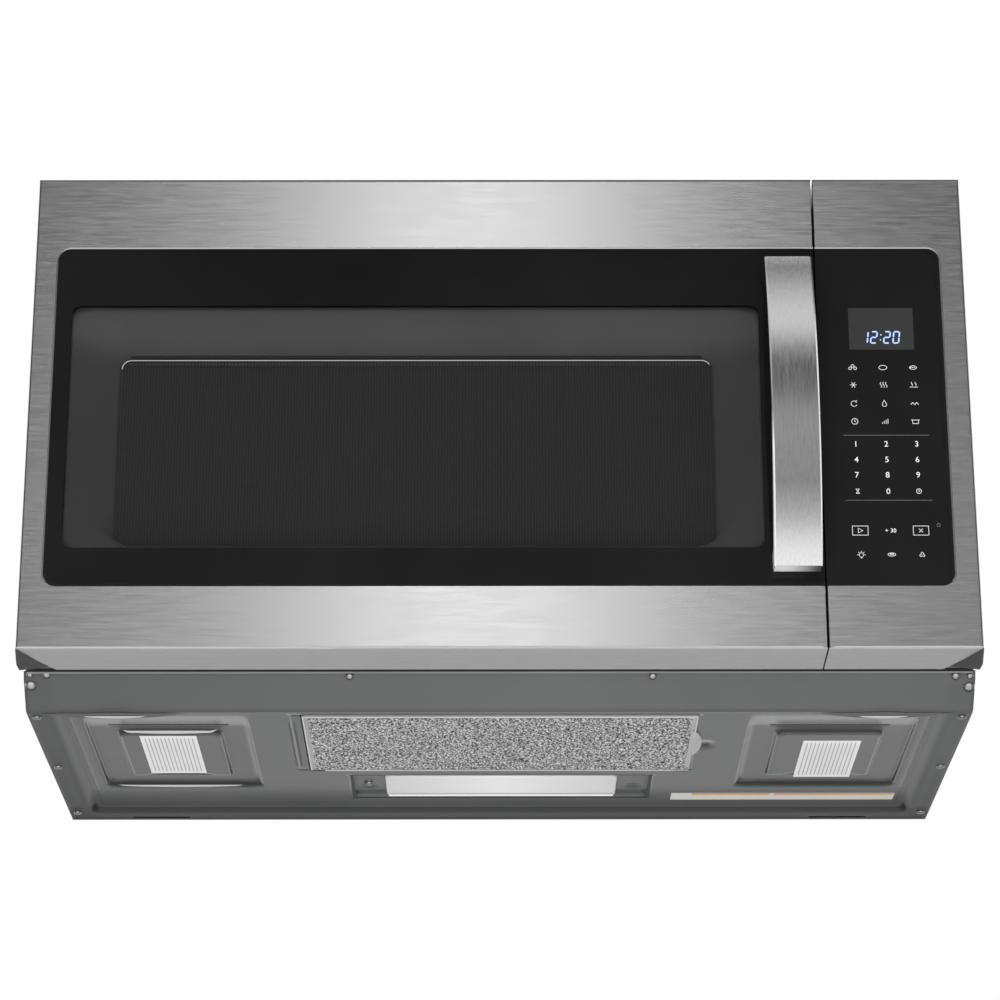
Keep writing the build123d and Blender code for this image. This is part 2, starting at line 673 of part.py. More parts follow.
def cooktop_lamp():
    """The cover that hangs in the lamp hole, its lens, the lamp board above and one screw."""
    recess = RECESS_Z + LAMP_RECESS
    above = recess + LAMP_SHEET
    flange_z = (FLOOR_UNDER, FLOOR_UNDER + LAMP_SHEET)
    cover = block(grow(LAMP_X, LAMP_FLANGE), grow(LAMP_Y, LAMP_FLANGE), flange_z)
    cover += block(grow(LAMP_X, LAMP_SHEET), grow(LAMP_Y, LAMP_SHEET), (FLOOR_UNDER, above))
    cover -= block(LAMP_X, LAMP_Y, (RECESS_Z, recess))
    lens_x = (LAMP_X[0] + LENS_LEFT, LAMP_X[0] + LENS_LEFT + LENS_WIDTH)
    lens_y = (LAMP_Y[1] - LENS_BACK - LENS_DEPTH, LAMP_Y[1] - LENS_BACK)
    cover -= plate_z(grow(lens_x, FIT), grow(lens_y, FIT), (recess - OVER, above + OVER), LENS_RADIUS)
    lens = plate_z(lens_x, lens_y, (recess - LENS_CROWN, above), LENS_RADIUS)
    lens = fillet(lens.edges().group_by(Axis.Z)[0], LENS_EDGE)
    lip_top = above + LENS_LIP_SHEET
    lens += plate_z(grow(lens_x, LENS_LIP), grow(lens_y, LENS_LIP), (above, lip_top), LENS_RADIUS)
    hollow_z = (recess - LENS_CROWN + LENS_WALL, lip_top + OVER)
    lens -= plate_z(grow(lens_x, -LENS_WALL), grow(lens_y, -LENS_WALL), hollow_z, LENS_RADIUS - LENS_WALL)
    board = lamp_board(lens_x, lens_y, lip_top)
    screw_y = (LAMP_Y[0] + LAMP_Y[1]) / 2
    screw_x = LAMP_X[0] + LENS_LEFT / 2
    screw_length = LAMP_SHEET + LAMP_SCREW_GRIP
    screw = pan_screw((screw_x, screw_y, recess), (0, 0, -1), *LAMP_SCREW_HEAD, LAMP_SCREW, screw_length)
    cover -= rod((screw_x, screw_y, recess - OVER), (0, 0, 1), LAMP_SCREW + RUNNING, LAMP_SHEET + 2 * OVER)
    return cover, lens, board, screw


def lamp_board(lens_x, lens_y, lip_top):
    """The lamp's circuit board on two posts that stand on the lens's lip, with two light emitters."""
    board_z = (lip_top + LENS_HEIGHT, lip_top + LENS_HEIGHT + BOARD)
    back = lens_y[1] - LAMP_BOARD_INSET[1]
    board = block(grow(lens_x, -LAMP_BOARD_INSET[0]), (lens_y[0] + LAMP_BOARD_INSET[1], back), board_z)
    for x in grow(lens_x, -LAMP_POST_INSET):
        board += rod((x, lens_y[1] + LAMP_POST_BACK, lip_top), (0, 0, 1), LAMP_POST, board_z[1] - lip_top)
        board += block(centred(x, 2 * LAMP_POST), (back - OVER, lens_y[1] + LAMP_POST_BACK), board_z)
    for x in grow(lens_x, -LED_INSET):
        board += rod((x, sum(lens_y) / 2, board_z[0]), (0, 0, -1), *LED_SIZE)
    return board


def side_screw_places():
    """Where the screws go up through the side strips into the case flanges."""
    for y in (BEND + SIDE_SCREW_FRONT, -SIDE_SCREW_MIDDLE, -SIDE_SCREW_BACK):
        for x in (-SIDE_SCREW_X, SIDE_SCREW_X):
            yield x, y


def slope_fasteners():
    """The fasteners on the slope: x, distance back from its start, head radius and height, shank radius."""
    for side in (-1, 1):
        for x in (SLOPE_SCREW_MIDDLE, CASE_HALF - SLOPE_SCREW_EDGE):
            yield (side * x, *SLOPE_SCREW)
        for sizes in SLOPE_END_SCREWS:
            yield (side * (CASE_HALF - SLOPE_END_EDGE), *sizes)


SLOPE_DROP = BOTTOM - NOSE
SLOPE_LENGTH = hypot(SLOPE_RUN, SLOPE_DROP)
SLOPE_OUT = (0, SLOPE_DROP / SLOPE_LENGTH, -SLOPE_RUN / SLOPE_LENGTH)


def on_slope(x, back):
    """A point on the slope's outer face, a distance back from its start."""
    return (x, SLOPE_START + back, NOSE + SLOPE_DROP * back / SLOPE_RUN)


def screw_holes():
    """Every hole that the case screws and slope fasteners pass through."""
    holes = []
    side_length = SIDE_SCREW_LENGTH + 2 * OVER
    slope_length = SLOPE_SCREW_LENGTH + 2 * OVER
    for x, y in side_screw_places():
        holes.append(rod((x, y, BOTTOM - OVER), (0, 0, 1), SIDE_SCREW + RUNNING, side_length))
    into = (0, -SLOPE_OUT[1], -SLOPE_OUT[2])
    for x, back, head, height, shank in slope_fasteners():
        seat = on_slope(x, back)
        holes.append(rod(seat, into, shank + RUNNING, slope_length) + rod(seat, SLOPE_OUT, shank, OVER))
    return holes


def case_screws():
    """Screws up through each side strip, and the fasteners on the slope at the front."""
    side_screws = []
    for x, y in side_screw_places():
        side_screws.append(pan_screw((x, y, BOTTOM), (0, 0, -1), *PAN_HEAD, SIDE_SCREW, SIDE_SCREW_LENGTH))
    slope_screws = []
    for x, back, head, height, shank in slope_fasteners():
        slope_screws.append(pan_screw(on_slope(x, back), SLOPE_OUT, head, height, shank, SLOPE_SCREW_LENGTH))
    return side_screws, slope_screws


# ================================================================== front frame and cavity
CAVITY_X = (-SIDE + CAVITY_LEFT, SEAM - CAVITY_RIGHT)
CAVITY_Z = (FACE_BOTTOM + CAVITY_SILL, TOP - CAVITY_TOP)
CAVITY_Y = (FRAME_FRONT + FRAME_SHEET, -CAVITY_BACK)
TURN_X = (CAVITY_X[0] + CAVITY_X[1]) / 2
TURN_Y = (CAVITY_Y[0] + CAVITY_Y[1]) / 2
BAY_LEFT = CAVITY_X[1] + CAVITY_SHEET
LATCH_CENTRE_X = DOOR_SEAM - LATCH_X
LATCH_SIDES = centred(LATCH_CENTRE_X, LATCH_THICK)
LATCH_Z = TOP - LATCH_MID
HOOK_Z = [centred(LATCH_Z + side * HOOK_SPACING / 2, HOOK_HEIGHT) for side in (-1, 1)]
HOOK_TIP = FRAME_FRONT + HOOK_REACH
SLOT_X = grow(LATCH_SIDES, HOOK_SIDE_ROOM)
PORT_Y = centred(FRAME_FRONT + PORT_BACK, PORT_SIZE[0])
PORT_Z = centred(CAVITY_Z[1] - PORT_DROP, PORT_SIZE[1])
LAMP_GRID_CENTRE = (CAVITY_Y[1] - LAMP_GRID_BACK, CAVITY_Z[1] - LAMP_GRID_DROP)
AIR_GRID_CENTRE = (CAVITY_Y[0] + AIR_GRID_FRONT, CAVITY_Z[1] - AIR_GRID_DROP)
HINGE_AXIS = (-SIDE + HINGE_X, FRONT + HINGE_Y)
ARM_TOP_Z = (TOP - HINGE_DROP, TOP - HINGE_DROP + HINGE_PLATE)
ARM_BOTTOM_Z = (FACE_BOTTOM + HINGE_RISE - HINGE_PLATE, FACE_BOTTOM + HINGE_RISE)


def hook_window(z):
    """How high a slot must be for a hook, its nose and its travel."""
    return (z[0] - HOOK_NOSE - HOOK_WINDOW_ROOM, z[1] + LATCH_TRAVEL + HOOK_WINDOW_ROOM)


def frame_plan(inset, back):
    """The front frame seen from above: cut corners and two short returns, moved in by inset."""
    half = INNER_HALF - inset
    corner = half - CORNER_CUT + inset / 2
    front, shoulder = FRAME_FRONT + inset, CASE_FRONT + inset / 2
    left = [(-half, back), (-half, shoulder), (-corner, front)]
    return left + [(-x, y) for x, y in left[::-1]]


def front_frame():
    """The steel face behind the door: cavity mouth, hook slots, hinge slots and the panel's wiring hole."""
    t = FRAME_SHEET
    back = CASE_FRONT + FRAME_RETURN
    z = (NOSE + BASE_SHEET, INNER_TOP)
    frame = prism_z(frame_plan(0, back), z) - prism_z(frame_plan(t, back + OVER), z)
    frame += block(centred(0, 2 * (INNER_HALF - CORNER_CUT)), (FRAME_FRONT, back), (INNER_TOP - t, INNER_TOP))
    below = [(0, BOTTOM - PAST), (FRAME_FRONT, BOTTOM - PAST)]
    frame -= prism_x(under_line(BASE_SHEET) + below, (-SIDE, SIDE))
    through = (FRAME_FRONT - OVER, FRAME_FRONT + t + OVER)
    frame -= plate_y(CAVITY_X, CAVITY_Z, through, CAVITY_RADIUS)
    for hook in HOOK_Z:
        frame -= block(SLOT_X, through, hook_window(hook))
    wiring_x = (PANEL_SEAM + WIRING_HOLE_X[0], PANEL_SEAM + WIRING_HOLE_X[1])
    wiring_z = (FACE_BOTTOM + WIRING_HOLE_FOOT, TOP - WIRING_HOLE_TOP)
    frame -= plate_y(wiring_x, wiring_z, through, WIRING_HOLE_RADIUS)
    for arm in (ARM_TOP_Z, ARM_BOTTOM_Z):
        frame -= block(centred(HINGE_AXIS[0], HINGE_ARM_WIDTH + 2 * FIT), through, grow(arm, FIT))
    return frame


def oven_cavity():
    """The cooking box: open at the front, with a flange that meets the front frame."""
    t = CAVITY_SHEET
    box = plate_y(grow(CAVITY_X, t), grow(CAVITY_Z, t), (CAVITY_Y[0], CAVITY_Y[1] + t), CAVITY_RADIUS + t)
    flange_y = (CAVITY_Y[0], CAVITY_Y[0] + t)
    box += plate_y(grow(CAVITY_X, CAVITY_FLANGE), grow(CAVITY_Z, CAVITY_FLANGE), flange_y, CAVITY_RADIUS)
    box -= plate_y(CAVITY_X, CAVITY_Z, (CAVITY_Y[0] - OVER, CAVITY_Y[1]), CAVITY_RADIUS)
    box -= rod((TURN_X, TURN_Y, CAVITY_Z[0] + OVER), (0, 0, -1), FLOOR_HOLE, t + 2 * OVER)
    box -= block((CAVITY_X[1] - OVER, BAY_LEFT + OVER), PORT_Y, PORT_Z)
    for y, z in grid(LAMP_GRID_CENTRE, LAMP_GRID, LAMP_GRID_PITCH):
        box -= rod((CAVITY_X[1] - OVER, y, z), (1, 0, 0), LAMP_GRID_HOLE, t + 2 * OVER)
    for y, z in grid(AIR_GRID_CENTRE, AIR_GRID, AIR_GRID_PITCH):
        box -= rod((CAVITY_X[0] + OVER, y, z), (-1, 0, 0), AIR_GRID_HOLE, t + 2 * OVER)
    return box


# ================================================================== face shells and glass
DOOR_GLASS_Z = (FACE_BOTTOM + BOTTOM_BAND, TOP - TOP_BAND)
GLASS_FRONT = FRONT + GLASS_RECESS
GLASS_BACK = GLASS_FRONT + GLASS_THICK
END_ANGLE = atan2(DOOR_DEPTH, END_BEVEL)
END_CORNER = SKIN_FILLET / tan(END_ANGLE / 2) - SKIN_FILLET


def bevel_x(end, inwards, y, inset):
    """X of the leaning end wall at depth y, moved in by inset; its rounded front corner reaches the end."""
    lean = END_BEVEL * (y - FRONT) / DOOR_DEPTH
    sheet = inset * hypot(END_BEVEL, DOOR_DEPTH) / DOOR_DEPTH
    return end + inwards * (lean + sheet - END_CORNER)


def face_solid(seam, end, inset, past_back):
    """The full block of the door or panel: straight at the seam, leaning at the end, lip at the bottom."""
    inwards = 1 if end < seam else -1
    front, back = FRONT + inset, DOOR_BACK + past_back
    seam_x = seam - inwards * inset
    plan = [(seam_x, front), (seam_x, back),
            (bevel_x(end, inwards, back, inset), back), (bevel_x(end, inwards, front, inset), front)]
    drop = LIP_DROP / DOOR_DEPTH
    side = [(front, TOP - inset), (back, TOP - inset), (back, FACE_BOTTOM + inset - drop * (back - FRONT)),
            (front, FACE_BOTTOM + inset - drop * (front - FRONT))]
    solid = prism_z(plan, (BOTTOM, TOP + PAST)) & prism_x(side, (-SIDE - PAST, SIDE + PAST))
    edges = solid.edges().filter_by_position(Axis.Y, front - HAIR, front + HAIR)
    return fillet(edges, SKIN_FILLET - inset)


def glass_outline(end_x, seam, y, margin):
    """The glass's rounded rectangle, which runs out through the seam, grown by a margin."""
    x = tuple(sorted((end_x, seam + (PAST if end_x < seam else -PAST))))
    return plate_y(grow(x, margin), grow(DOOR_GLASS_Z, margin), y, GLASS_RADIUS + margin)


def face_skin(seam, end, end_band):
    """A brushed steel skin: folded back all round, open for the glass, with a curled edge there."""
    end_x = end + end_band if end < seam else end - end_band
    skin = face_solid(seam, end, 0, 0) - face_solid(seam, end, SKIN_SHEET, OVER)
    curl = glass_outline(end_x, seam, (FRONT + SKIN_SHEET / 2, FRONT + SKIN_SHEET + CURL_DEPTH), EDGE_CURL)
    skin += curl & block(sorted((seam, end)), (FRONT, DOOR_BACK), (BOTTOM, TOP))
    return skin - glass_outline(end_x, seam, (FRONT - OVER, DOOR_BACK + OVER), 0)


def face_glass(seam, end, end_band):
    """The black glass that fills the opening up to the seam."""
    end_x = end + end_band if end < seam else end - end_band
    pane = glass_outline(end_x, seam, (GLASS_FRONT, GLASS_BACK), -FIT)
    return pane & block(sorted((seam, end)), (FRONT, DOOR_BACK), (BOTTOM, TOP))


# ================================================================== door
def from_door_edges(sizes):
    """Distances in from the door's left, right, top and bottom as (x low, high) and (z low, high)."""
    left, right, upper, lower = sizes
    return (-SIDE + left, DOOR_SEAM - right), (FACE_BOTTOM + lower, TOP - upper)


FUNNEL_MOUTH = from_door_edges(FUNNEL_FRONT)
WINDOW = from_door_edges(FUNNEL_BACK)
BEZEL_Y = (GLASS_BACK, GLASS_BACK + BEZEL_DEPTH)
SCREEN_Y = (BEZEL_Y[1], BEZEL_Y[1] + SCREEN_SHEET)
TRAY_Y = (SCREEN_Y[1], SCREEN_Y[1] + DOOR_SHEET)
COVER_Y = (DOOR_BACK - CHOKE_COVER, DOOR_BACK)
FLANGE_Y = (COVER_Y[0] - DOOR_SHEET, COVER_Y[0])
CHOKE_WALL_IN = (grow(WINDOW[0], CHOKE_INNER), grow(WINDOW[1], CHOKE_INNER))
CHOKE_WALL_OUT = (grow(CAVITY_X, CHOKE_OUTER), grow(CAVITY_Z, CHOKE_OUTER))
BACK_X = (bevel_x(-SIDE, 1, DOOR_BACK, SKIN_SHEET) + FIT, DOOR_SEAM - SKIN_SHEET - FIT)
BACK_Z = (FACE_BOTTOM + SKIN_SHEET + FIT, TOP - SKIN_SHEET - FIT)
HANDLE_X = (DOOR_SEAM - HANDLE_END - HANDLE_WIDTH, DOOR_SEAM - HANDLE_END)
HANDLE_Z = centred(sum(DOOR_GLASS_Z) / 2 - HANDLE_SHIFT, HANDLE_LENGTH)
HANDLE_SCREW_Z = grow(HANDLE_Z, -HANDLE_FOOT / 2)
HANDLE_SCREW_X = sum(HANDLE_X) / 2


def hinge_room():
    """The two corners that the door leaves free for the fixed hinge arms as it turns."""
    x = (-SIDE - PAST, HINGE_AXIS[0] + HINGE_ROOM_X)
    y = (HINGE_AXIS[1] - HINGE_ROOM_Y, DOOR_BACK + PAST)
    return [block(x, y, grow(z, HINGE_PLATE + HINGE_ROOM_Z)) for z in (ARM_TOP_Z, ARM_BOTTOM_Z)]


def handle_bores(radius, y):
    """The holes behind the handle's feet, through whatever its screws pass."""
    return [rod((HANDLE_SCREW_X, y[0], z), (0, 1, 0), radius, y[1] - y[0]) for z in HANDLE_SCREW_Z]


def door_skin():
    """The door's steel face, seated for the handle where that reaches past the glass."""
    skin = face_skin(DOOR_SEAM, -SIDE, DOOR_END_BAND)
    skin -= block(HANDLE_X, (FRONT - OVER, GLASS_FRONT), HANDLE_Z)
    for cutter in hinge_room() + handle_bores(HANDLE_SCREW + HANDLE_SCREW_ROOM, (FRONT, GLASS_BACK)):
        skin -= cutter
    return skin


def door_glass():
    """The door's outer pane, drilled for the handle's screws."""
    pane = face_glass(DOOR_SEAM, -SIDE, DOOR_END_BAND)
    for bore in handle_bores(HANDLE_SCREW + HANDLE_SCREW_ROOM, (FRONT, GLASS_BACK + OVER)):
        pane -= bore
    return pane


def door_bezel():
    """The moulded frame behind the glass: a funnel down to the window inside a rim."""
    outer_x = (-SIDE + DOOR_END_BAND + BEZEL_END, BACK_X[1] - DOOR_SHEET - FIT)
    outer_z = grow(DOOR_GLASS_Z, BEZEL_MARGIN)
    whole = block(outer_x, BEZEL_Y, outer_z)
    hollow_y = (BEZEL_Y[0] + BEZEL_WALL, BEZEL_Y[1] + OVER)
    hollow = block(grow(outer_x, -BEZEL_WALL), hollow_y, grow(outer_z, -BEZEL_WALL))
    back = (grow(WINDOW[0], BEZEL_WALL), grow(WINDOW[1], BEZEL_WALL))
    mouth = (grow(FUNNEL_MOUTH[0], BEZEL_WALL), grow(FUNNEL_MOUTH[1], BEZEL_WALL))
    hollow -= funnel_y(mouth, back, (BEZEL_Y[0] - HAIR, BEZEL_Y[1]), FUNNEL_RADIUS + BEZEL_WALL)
    rim = (grow(WINDOW[0], SCREEN_OVERLAP), grow(WINDOW[1], SCREEN_OVERLAP))
    hollow -= plate_y(*rim, (BEZEL_Y[1] - BEZEL_WALL, BEZEL_Y[1] + OVER), FUNNEL_RADIUS)
    bezel = whole - hollow
    bezel -= funnel_y(FUNNEL_MOUTH, WINDOW, grow(BEZEL_Y, HAIR), FUNNEL_RADIUS)
    for bore in handle_bores(HANDLE_SCREW_HEAD[0] + HANDLE_HEAD_ROOM, grow(BEZEL_Y, OVER)):
        bezel -= bore
    return bezel


def door_screen():
    """The window's steel screen, between the moulded frame and the inner panel."""
    return block(grow(WINDOW[0], SCREEN_OVERLAP), SCREEN_Y, grow(WINDOW[1], SCREEN_OVERLAP))


def door_inner_panel():
    """The welded inner door: screen seat, choke channel, back flange, end wall and latch guides."""
    t = DOOR_SHEET
    wall_y = (TRAY_Y[0], COVER_Y[0])
    out_x, out_z = CHOKE_WALL_OUT
    in_x, in_z = CHOKE_WALL_IN
    panel = block(grow(out_x, t), TRAY_Y, grow(out_z, t))
    panel += block(grow(out_x, t), wall_y, grow(out_z, t)) - block(out_x, grow(wall_y, OVER), out_z)
    panel += block(grow(in_x, t), wall_y, grow(in_z, t)) - block(in_x, grow(wall_y, OVER), in_z)
    panel -= plate_y(*WINDOW, grow(TRAY_Y, OVER), FUNNEL_RADIUS)
    panel += block(BACK_X, FLANGE_Y, BACK_Z) - block(out_x, grow(FLANGE_Y, OVER), out_z)
    end_y = (GLASS_BACK + BEZEL_WALL, FLANGE_Y[1])
    panel += block((BACK_X[1] - t, BACK_X[1]), end_y, grow(DOOR_GLASS_Z, -FIT))
    thick, height = LATCH_GUIDE
    guide_y = (FLANGE_Y[1] - LATCH_DEPTH - thick, FLANGE_Y[0] + t / 2)
    near, far = grow(LATCH_SIDES, FIT)
    for middle in centred(LATCH_Z, LATCH_GUIDE_SPACING):
        for x in ((near - thick, near), (far, far + thick)):
            panel += block(x, guide_y, centred(middle, height))
    lug_top = LATCH_Z - LATCH_LENGTH / 2 - SPRING_LENGTH - FIT
    panel += block(grow(LATCH_SIDES, thick), guide_y, (lug_top - thick, lug_top))
    for z in HOOK_Z:
        panel -= block(grow(LATCH_SIDES, LATCH_SLOT_ROOM), grow(FLANGE_Y, OVER), hook_window(z))
    for room in hinge_room():
        panel -= room & block((-SIDE - PAST, SIDE), grow(FLANGE_Y, PAST), (BOTTOM, TOP))
    return panel


def choke_cover():
    """The plastic ring that closes the choke channel and the back of the door."""
    cover = block(BACK_X, COVER_Y, BACK_Z)
    opening_x, opening_z = grow(CHOKE_WALL_IN[0], DOOR_SHEET), grow(CHOKE_WALL_IN[1], DOOR_SHEET)
    cover -= block(opening_x, grow(COVER_Y, OVER), opening_z)
    for z in HOOK_Z:
        cover -= block(grow(LATCH_SIDES, LATCH_SLOT_ROOM), grow(COVER_Y, OVER), hook_window(z))
    for room in hinge_room():
        cover -= room
    return cover


def inner_window():
    """The clear pane on the cavity side of the screen."""
    x, z = grow(CHOKE_WALL_IN[0], -FIT), grow(CHOKE_WALL_IN[1], -FIT)
    return block(x, (TRAY_Y[1], TRAY_Y[1] + INNER_GLASS), z)


def door_handle():
    """A flat bar bowed away from the glass, with a foot turned in at each end."""
    z0, z1 = HANDLE_Z
    mid = (z0 + z1) / 2
    stand = GLASS_FRONT - HANDLE_STAND
    bow = stand - HANDLE_BOW
    inner = stand + HANDLE_THICK
    outline = Line((GLASS_FRONT, z0), (stand, z0))
    outline += ThreePointArc((stand, z0), (bow, mid), (stand, z1))
    outline += Line((stand, z1), (GLASS_FRONT, z1))
    outline += Line((GLASS_FRONT, z1), (GLASS_FRONT, z1 - HANDLE_FOOT))
    outline += Line((GLASS_FRONT, z1 - HANDLE_FOOT), (inner, z1 - HANDLE_FOOT))
    outline += ThreePointArc((inner, z1 - HANDLE_FOOT), (bow + HANDLE_THICK, mid), (inner, z0 + HANDLE_FOOT))
    outline += Line((inner, z0 + HANDLE_FOOT), (GLASS_FRONT, z0 + HANDLE_FOOT))
    outline += Line((GLASS_FRONT, z0 + HANDLE_FOOT), (GLASS_FRONT, z0))
    plane = Plane(origin=(HANDLE_X[0], 0, 0), x_dir=(0, 1, 0), z_dir=(1, 0, 0))
    bar = extrude(plane * make_face(outline), amount=HANDLE_WIDTH)
    arcs = bar.edges().filter_by(GeomType.CIRCLE)
    bar = chamfer(arcs.sort_by(SortBy.LENGTH)[-2:], HANDLE_CHAMFER)
    for z in HANDLE_SCREW_Z:
        bore = HANDLE_SCREW_GRIP + FIT + OVER
        bar -= rod((HANDLE_SCREW_X, GLASS_FRONT + OVER, z), (0, -1, 0), HANDLE_SCREW + RUNNING, bore)
    return bar


def handle_screws():
    """Two screws from behind the glass into the feet."""
    shank = GLASS_THICK + HANDLE_SCREW_GRIP
    return [pan_screw((HANDLE_SCREW_X, GLASS_BACK, z), (0, 1, 0), *HANDLE_SCREW_HEAD, HANDLE_SCREW, shank)
            for z in HANDLE_SCREW_Z]


def hinge_arm(arm_z, pin_end):
    """A door-side plate with the hinge bore; pin_end is the side of the fixed arm that it lies on."""
    x, y = HINGE_AXIS
    below = (arm_z[0] - FIT - HINGE_PLATE, arm_z[0] - FIT)
    above = (arm_z[1] + FIT, arm_z[1] + FIT + HINGE_PLATE)
    z = below if pin_end < 0 else above
    plate = rod((x, y, z[0]), (0, 0, 1), HINGE_BOSS, HINGE_PLATE)
    plate += block((x, x + HINGE_REACH), (y - HINGE_BOSS, FLANGE_Y[0]), z)
    tab_x = (x + HINGE_REACH - HINGE_TAB, x + HINGE_REACH)
    tab_z = (z[0] - HINGE_TAB, z[0]) if pin_end < 0 else (z[1], z[1] + HINGE_TAB)
    plate += block(tab_x, (FLANGE_Y[0] - HINGE_TAB_SHEET, FLANGE_Y[0]), tab_z)
    return plate - rod((x, y, z[0] - OVER), (0, 0, 1), HINGE_PIN + RUNNING, HINGE_PLATE + 2 * OVER)


def hinge_bracket(arm_z, pin_end):
    """A frame-side bracket behind the front frame; its arm comes forward through it and carries the pin."""
    x, y = HINGE_AXIS
    length, height, thick = HINGE_FOOT
    base_y = (FRAME_FRONT + FRAME_SHEET, FRAME_FRONT + FRAME_SHEET + thick)
    arm_x = centred(x, HINGE_ARM_WIDTH)
    bracket = block(arm_x, (y, base_y[1]), arm_z)
    bracket += rod((x, y, arm_z[0]), (0, 0, 1), HINGE_ARM_WIDTH / 2, HINGE_PLATE)
    bracket -= block((x - PAST, arm_x[0] + HINGE_FOOT_SET), (y - PAST, y + HINGE_NECK), grow(arm_z, OVER))
    foot_z = (arm_z[0] - height, arm_z[1]) if pin_end < 0 else (arm_z[0], arm_z[1] + height)
    bracket += block((arm_x[0], arm_x[0] + length), base_y, foot_z)
    start = arm_z[0] if pin_end < 0 else arm_z[1]
    return bracket + rod((x, y, start), (0, 0, pin_end), HINGE_PIN, HINGE_PIN_LENGTH)


# ================================================================== latch and interlocks
def door_latch():
    """The sliding bar with two hooks that reach through the back of the door."""
    bar_y = (FLANGE_Y[0] - FIT - LATCH_DEPTH, FLANGE_Y[0] - FIT)
    latch = block(LATCH_SIDES, bar_y, centred(LATCH_Z, LATCH_LENGTH))
    for z in HOOK_Z:
        latch += block(LATCH_SIDES, (bar_y[0], HOOK_TIP), z)
        latch += block(LATCH_SIDES, (HOOK_TIP - HOOK_NOSE_DEPTH, HOOK_TIP), (z[0] - HOOK_NOSE, z[1]))
    return latch


def latch_spring():
    """The coil spring that pulls the latch bar down onto its rest."""
    height = SPRING_LENGTH - 2 * SPRING_WIRE - 2 * FIT
    base = LATCH_Z - LATCH_LENGTH / 2 - SPRING_LENGTH + SPRING_WIRE
    y = FLANGE_Y[0] - FIT - LATCH_DEPTH / 2
    path = Helix(pitch=height / SPRING_TURNS, height=height, radius=SPRING_RADIUS)
    section = Plane(origin=path @ 0, z_dir=path % 0) * Circle(SPRING_WIRE / 2)
    return Pos(LATCH_CENTRE_X, y, base) * sweep(section, path=path, is_frenet=True)


PAIR_Z = centred(sum(HOOK_Z[1]) / 2, SWITCH_SPACING)
PLUNGER_PLACES = [("primary", PAIR_Z[1]), ("monitor", PAIR_Z[0]), ("secondary", sum(HOOK_Z[0]) / 2)]
PLUNGER_TIP = HOOK_TIP + FIT
SWITCH_Y = (PLUNGER_TIP + SWITCH_STAND, PLUNGER_TIP + SWITCH_STAND + SWITCH_SIZE[1])


def plunger(z):
    """A switch's push pin, just clear of its hook."""
    return rod((LATCH_CENTRE_X, PLUNGER_TIP, z), (0, 1, 0), PLUNGER_RADIUS, PLUNGER_LENGTH)


def interlock_switches():
    """Three small switches behind the hook slots, each bored for its push pin."""
    width, length, height = SWITCH_SIZE
    pin_width, pin_length, pin_height = SWITCH_PIN
    depth = PLUNGER_LENGTH - SWITCH_STAND + PLUNGER_TRAVEL + SWITCH_BORE_PAST
    bodies = []
    for name, z in PLUNGER_PLACES:
        body = block(centred(LATCH_CENTRE_X, width), SWITCH_Y, centred(z, height))
        mouth = (LATCH_CENTRE_X, SWITCH_Y[0] - OVER, z)
        body -= rod(mouth, (0, 1, 0), PLUNGER_RADIUS + RUNNING, depth + OVER)
        for x in (-SWITCH_PIN_PITCH, 0, SWITCH_PIN_PITCH):
            pin_x = centred(LATCH_CENTRE_X + x, pin_width)
            body += block(pin_x, (SWITCH_Y[1], SWITCH_Y[1] + pin_length), centred(z, pin_height))
        bodies.append(body)
    return bodies


def switch_bracket():
    """The plastic carrier screwed behind the front frame, with a side wall that holds the switches."""
    y = (FRAME_FRONT + FRAME_SHEET, FRAME_FRONT + FRAME_SHEET + SWITCH_SHEET)
    z = centred(LATCH_Z, HOOK_SPACING + 2 * SWITCH_PAST)
    wall = LATCH_CENTRE_X + SWITCH_SIZE[0] / 2
    bracket = block((SLOT_X[0] - SWITCH_MARGIN, wall + SWITCH_SHEET), y, z)
    bracket += block((wall, wall + SWITCH_SHEET), (y[0], SWITCH_Y[1]), z)
    for hook in HOOK_Z:
        bracket -= block(SLOT_X, grow(y, OVER), hook_window(hook))
    return bracket


# ================================================================== control panel
PANEL_GLASS_X = (PANEL_SEAM, SIDE - PANEL_END_BAND)
PANEL_CENTRE = PANEL_SEAM + PANEL_MIDDLE
DISPLAY_X = centred(PANEL_CENTRE, DISPLAY_SIZE[0])
DISPLAY_Z = (TOP - DISPLAY_TOP - DISPLAY_SIZE[1], TOP - DISPLAY_TOP)
BOARD_Z = (FACE_BOTTOM + BOARD_FOOT, TOP - BOARD_TOP)
BACKING_X = (PANEL_SEAM + SKIN_SHEET + FIT, bevel_x(SIDE, -1, DOOR_BACK, SKIN_SHEET) - FIT)
BACKING_Y = (GLASS_BACK, GLASS_BACK + BACKING_FRONT)


def panel_backing():
    """The moulded carrier behind the panel: holds the glass, display and board."""
    shell = block(BACKING_X, (BACKING_Y[0], FRAME_FRONT), BACK_Z)
    hollow_y = (BACKING_Y[1], FRAME_FRONT + OVER)
    shell -= block(grow(BACKING_X, -BACKING_WALL), hollow_y, grow(BACK_Z, -BACKING_WALL))
    shell -= block(grow(DISPLAY_X, FIT), grow(BACKING_Y, OVER), grow(DISPLAY_Z, FIT))
    foot = BOARD_Z[0] + POST_INSET
    for x in centred(PANEL_CENTRE, POST_SPACING):
        for z in (foot, foot + POST_STEP, BOARD_Z[1] - POST_INSET):
            start = BACKING_Y[1] - BACKING_FRONT / 2
            shell += rod((x, start, z), (0, 1, 0), POST_RADIUS, BOARD_GAP + BACKING_FRONT / 2)
    return shell


def display_module():
    """The clock display: a dark box whose window lies against the glass."""
    return block(DISPLAY_X, (GLASS_BACK, BACKING_Y[1] + BOARD_GAP - FIT), DISPLAY_Z)


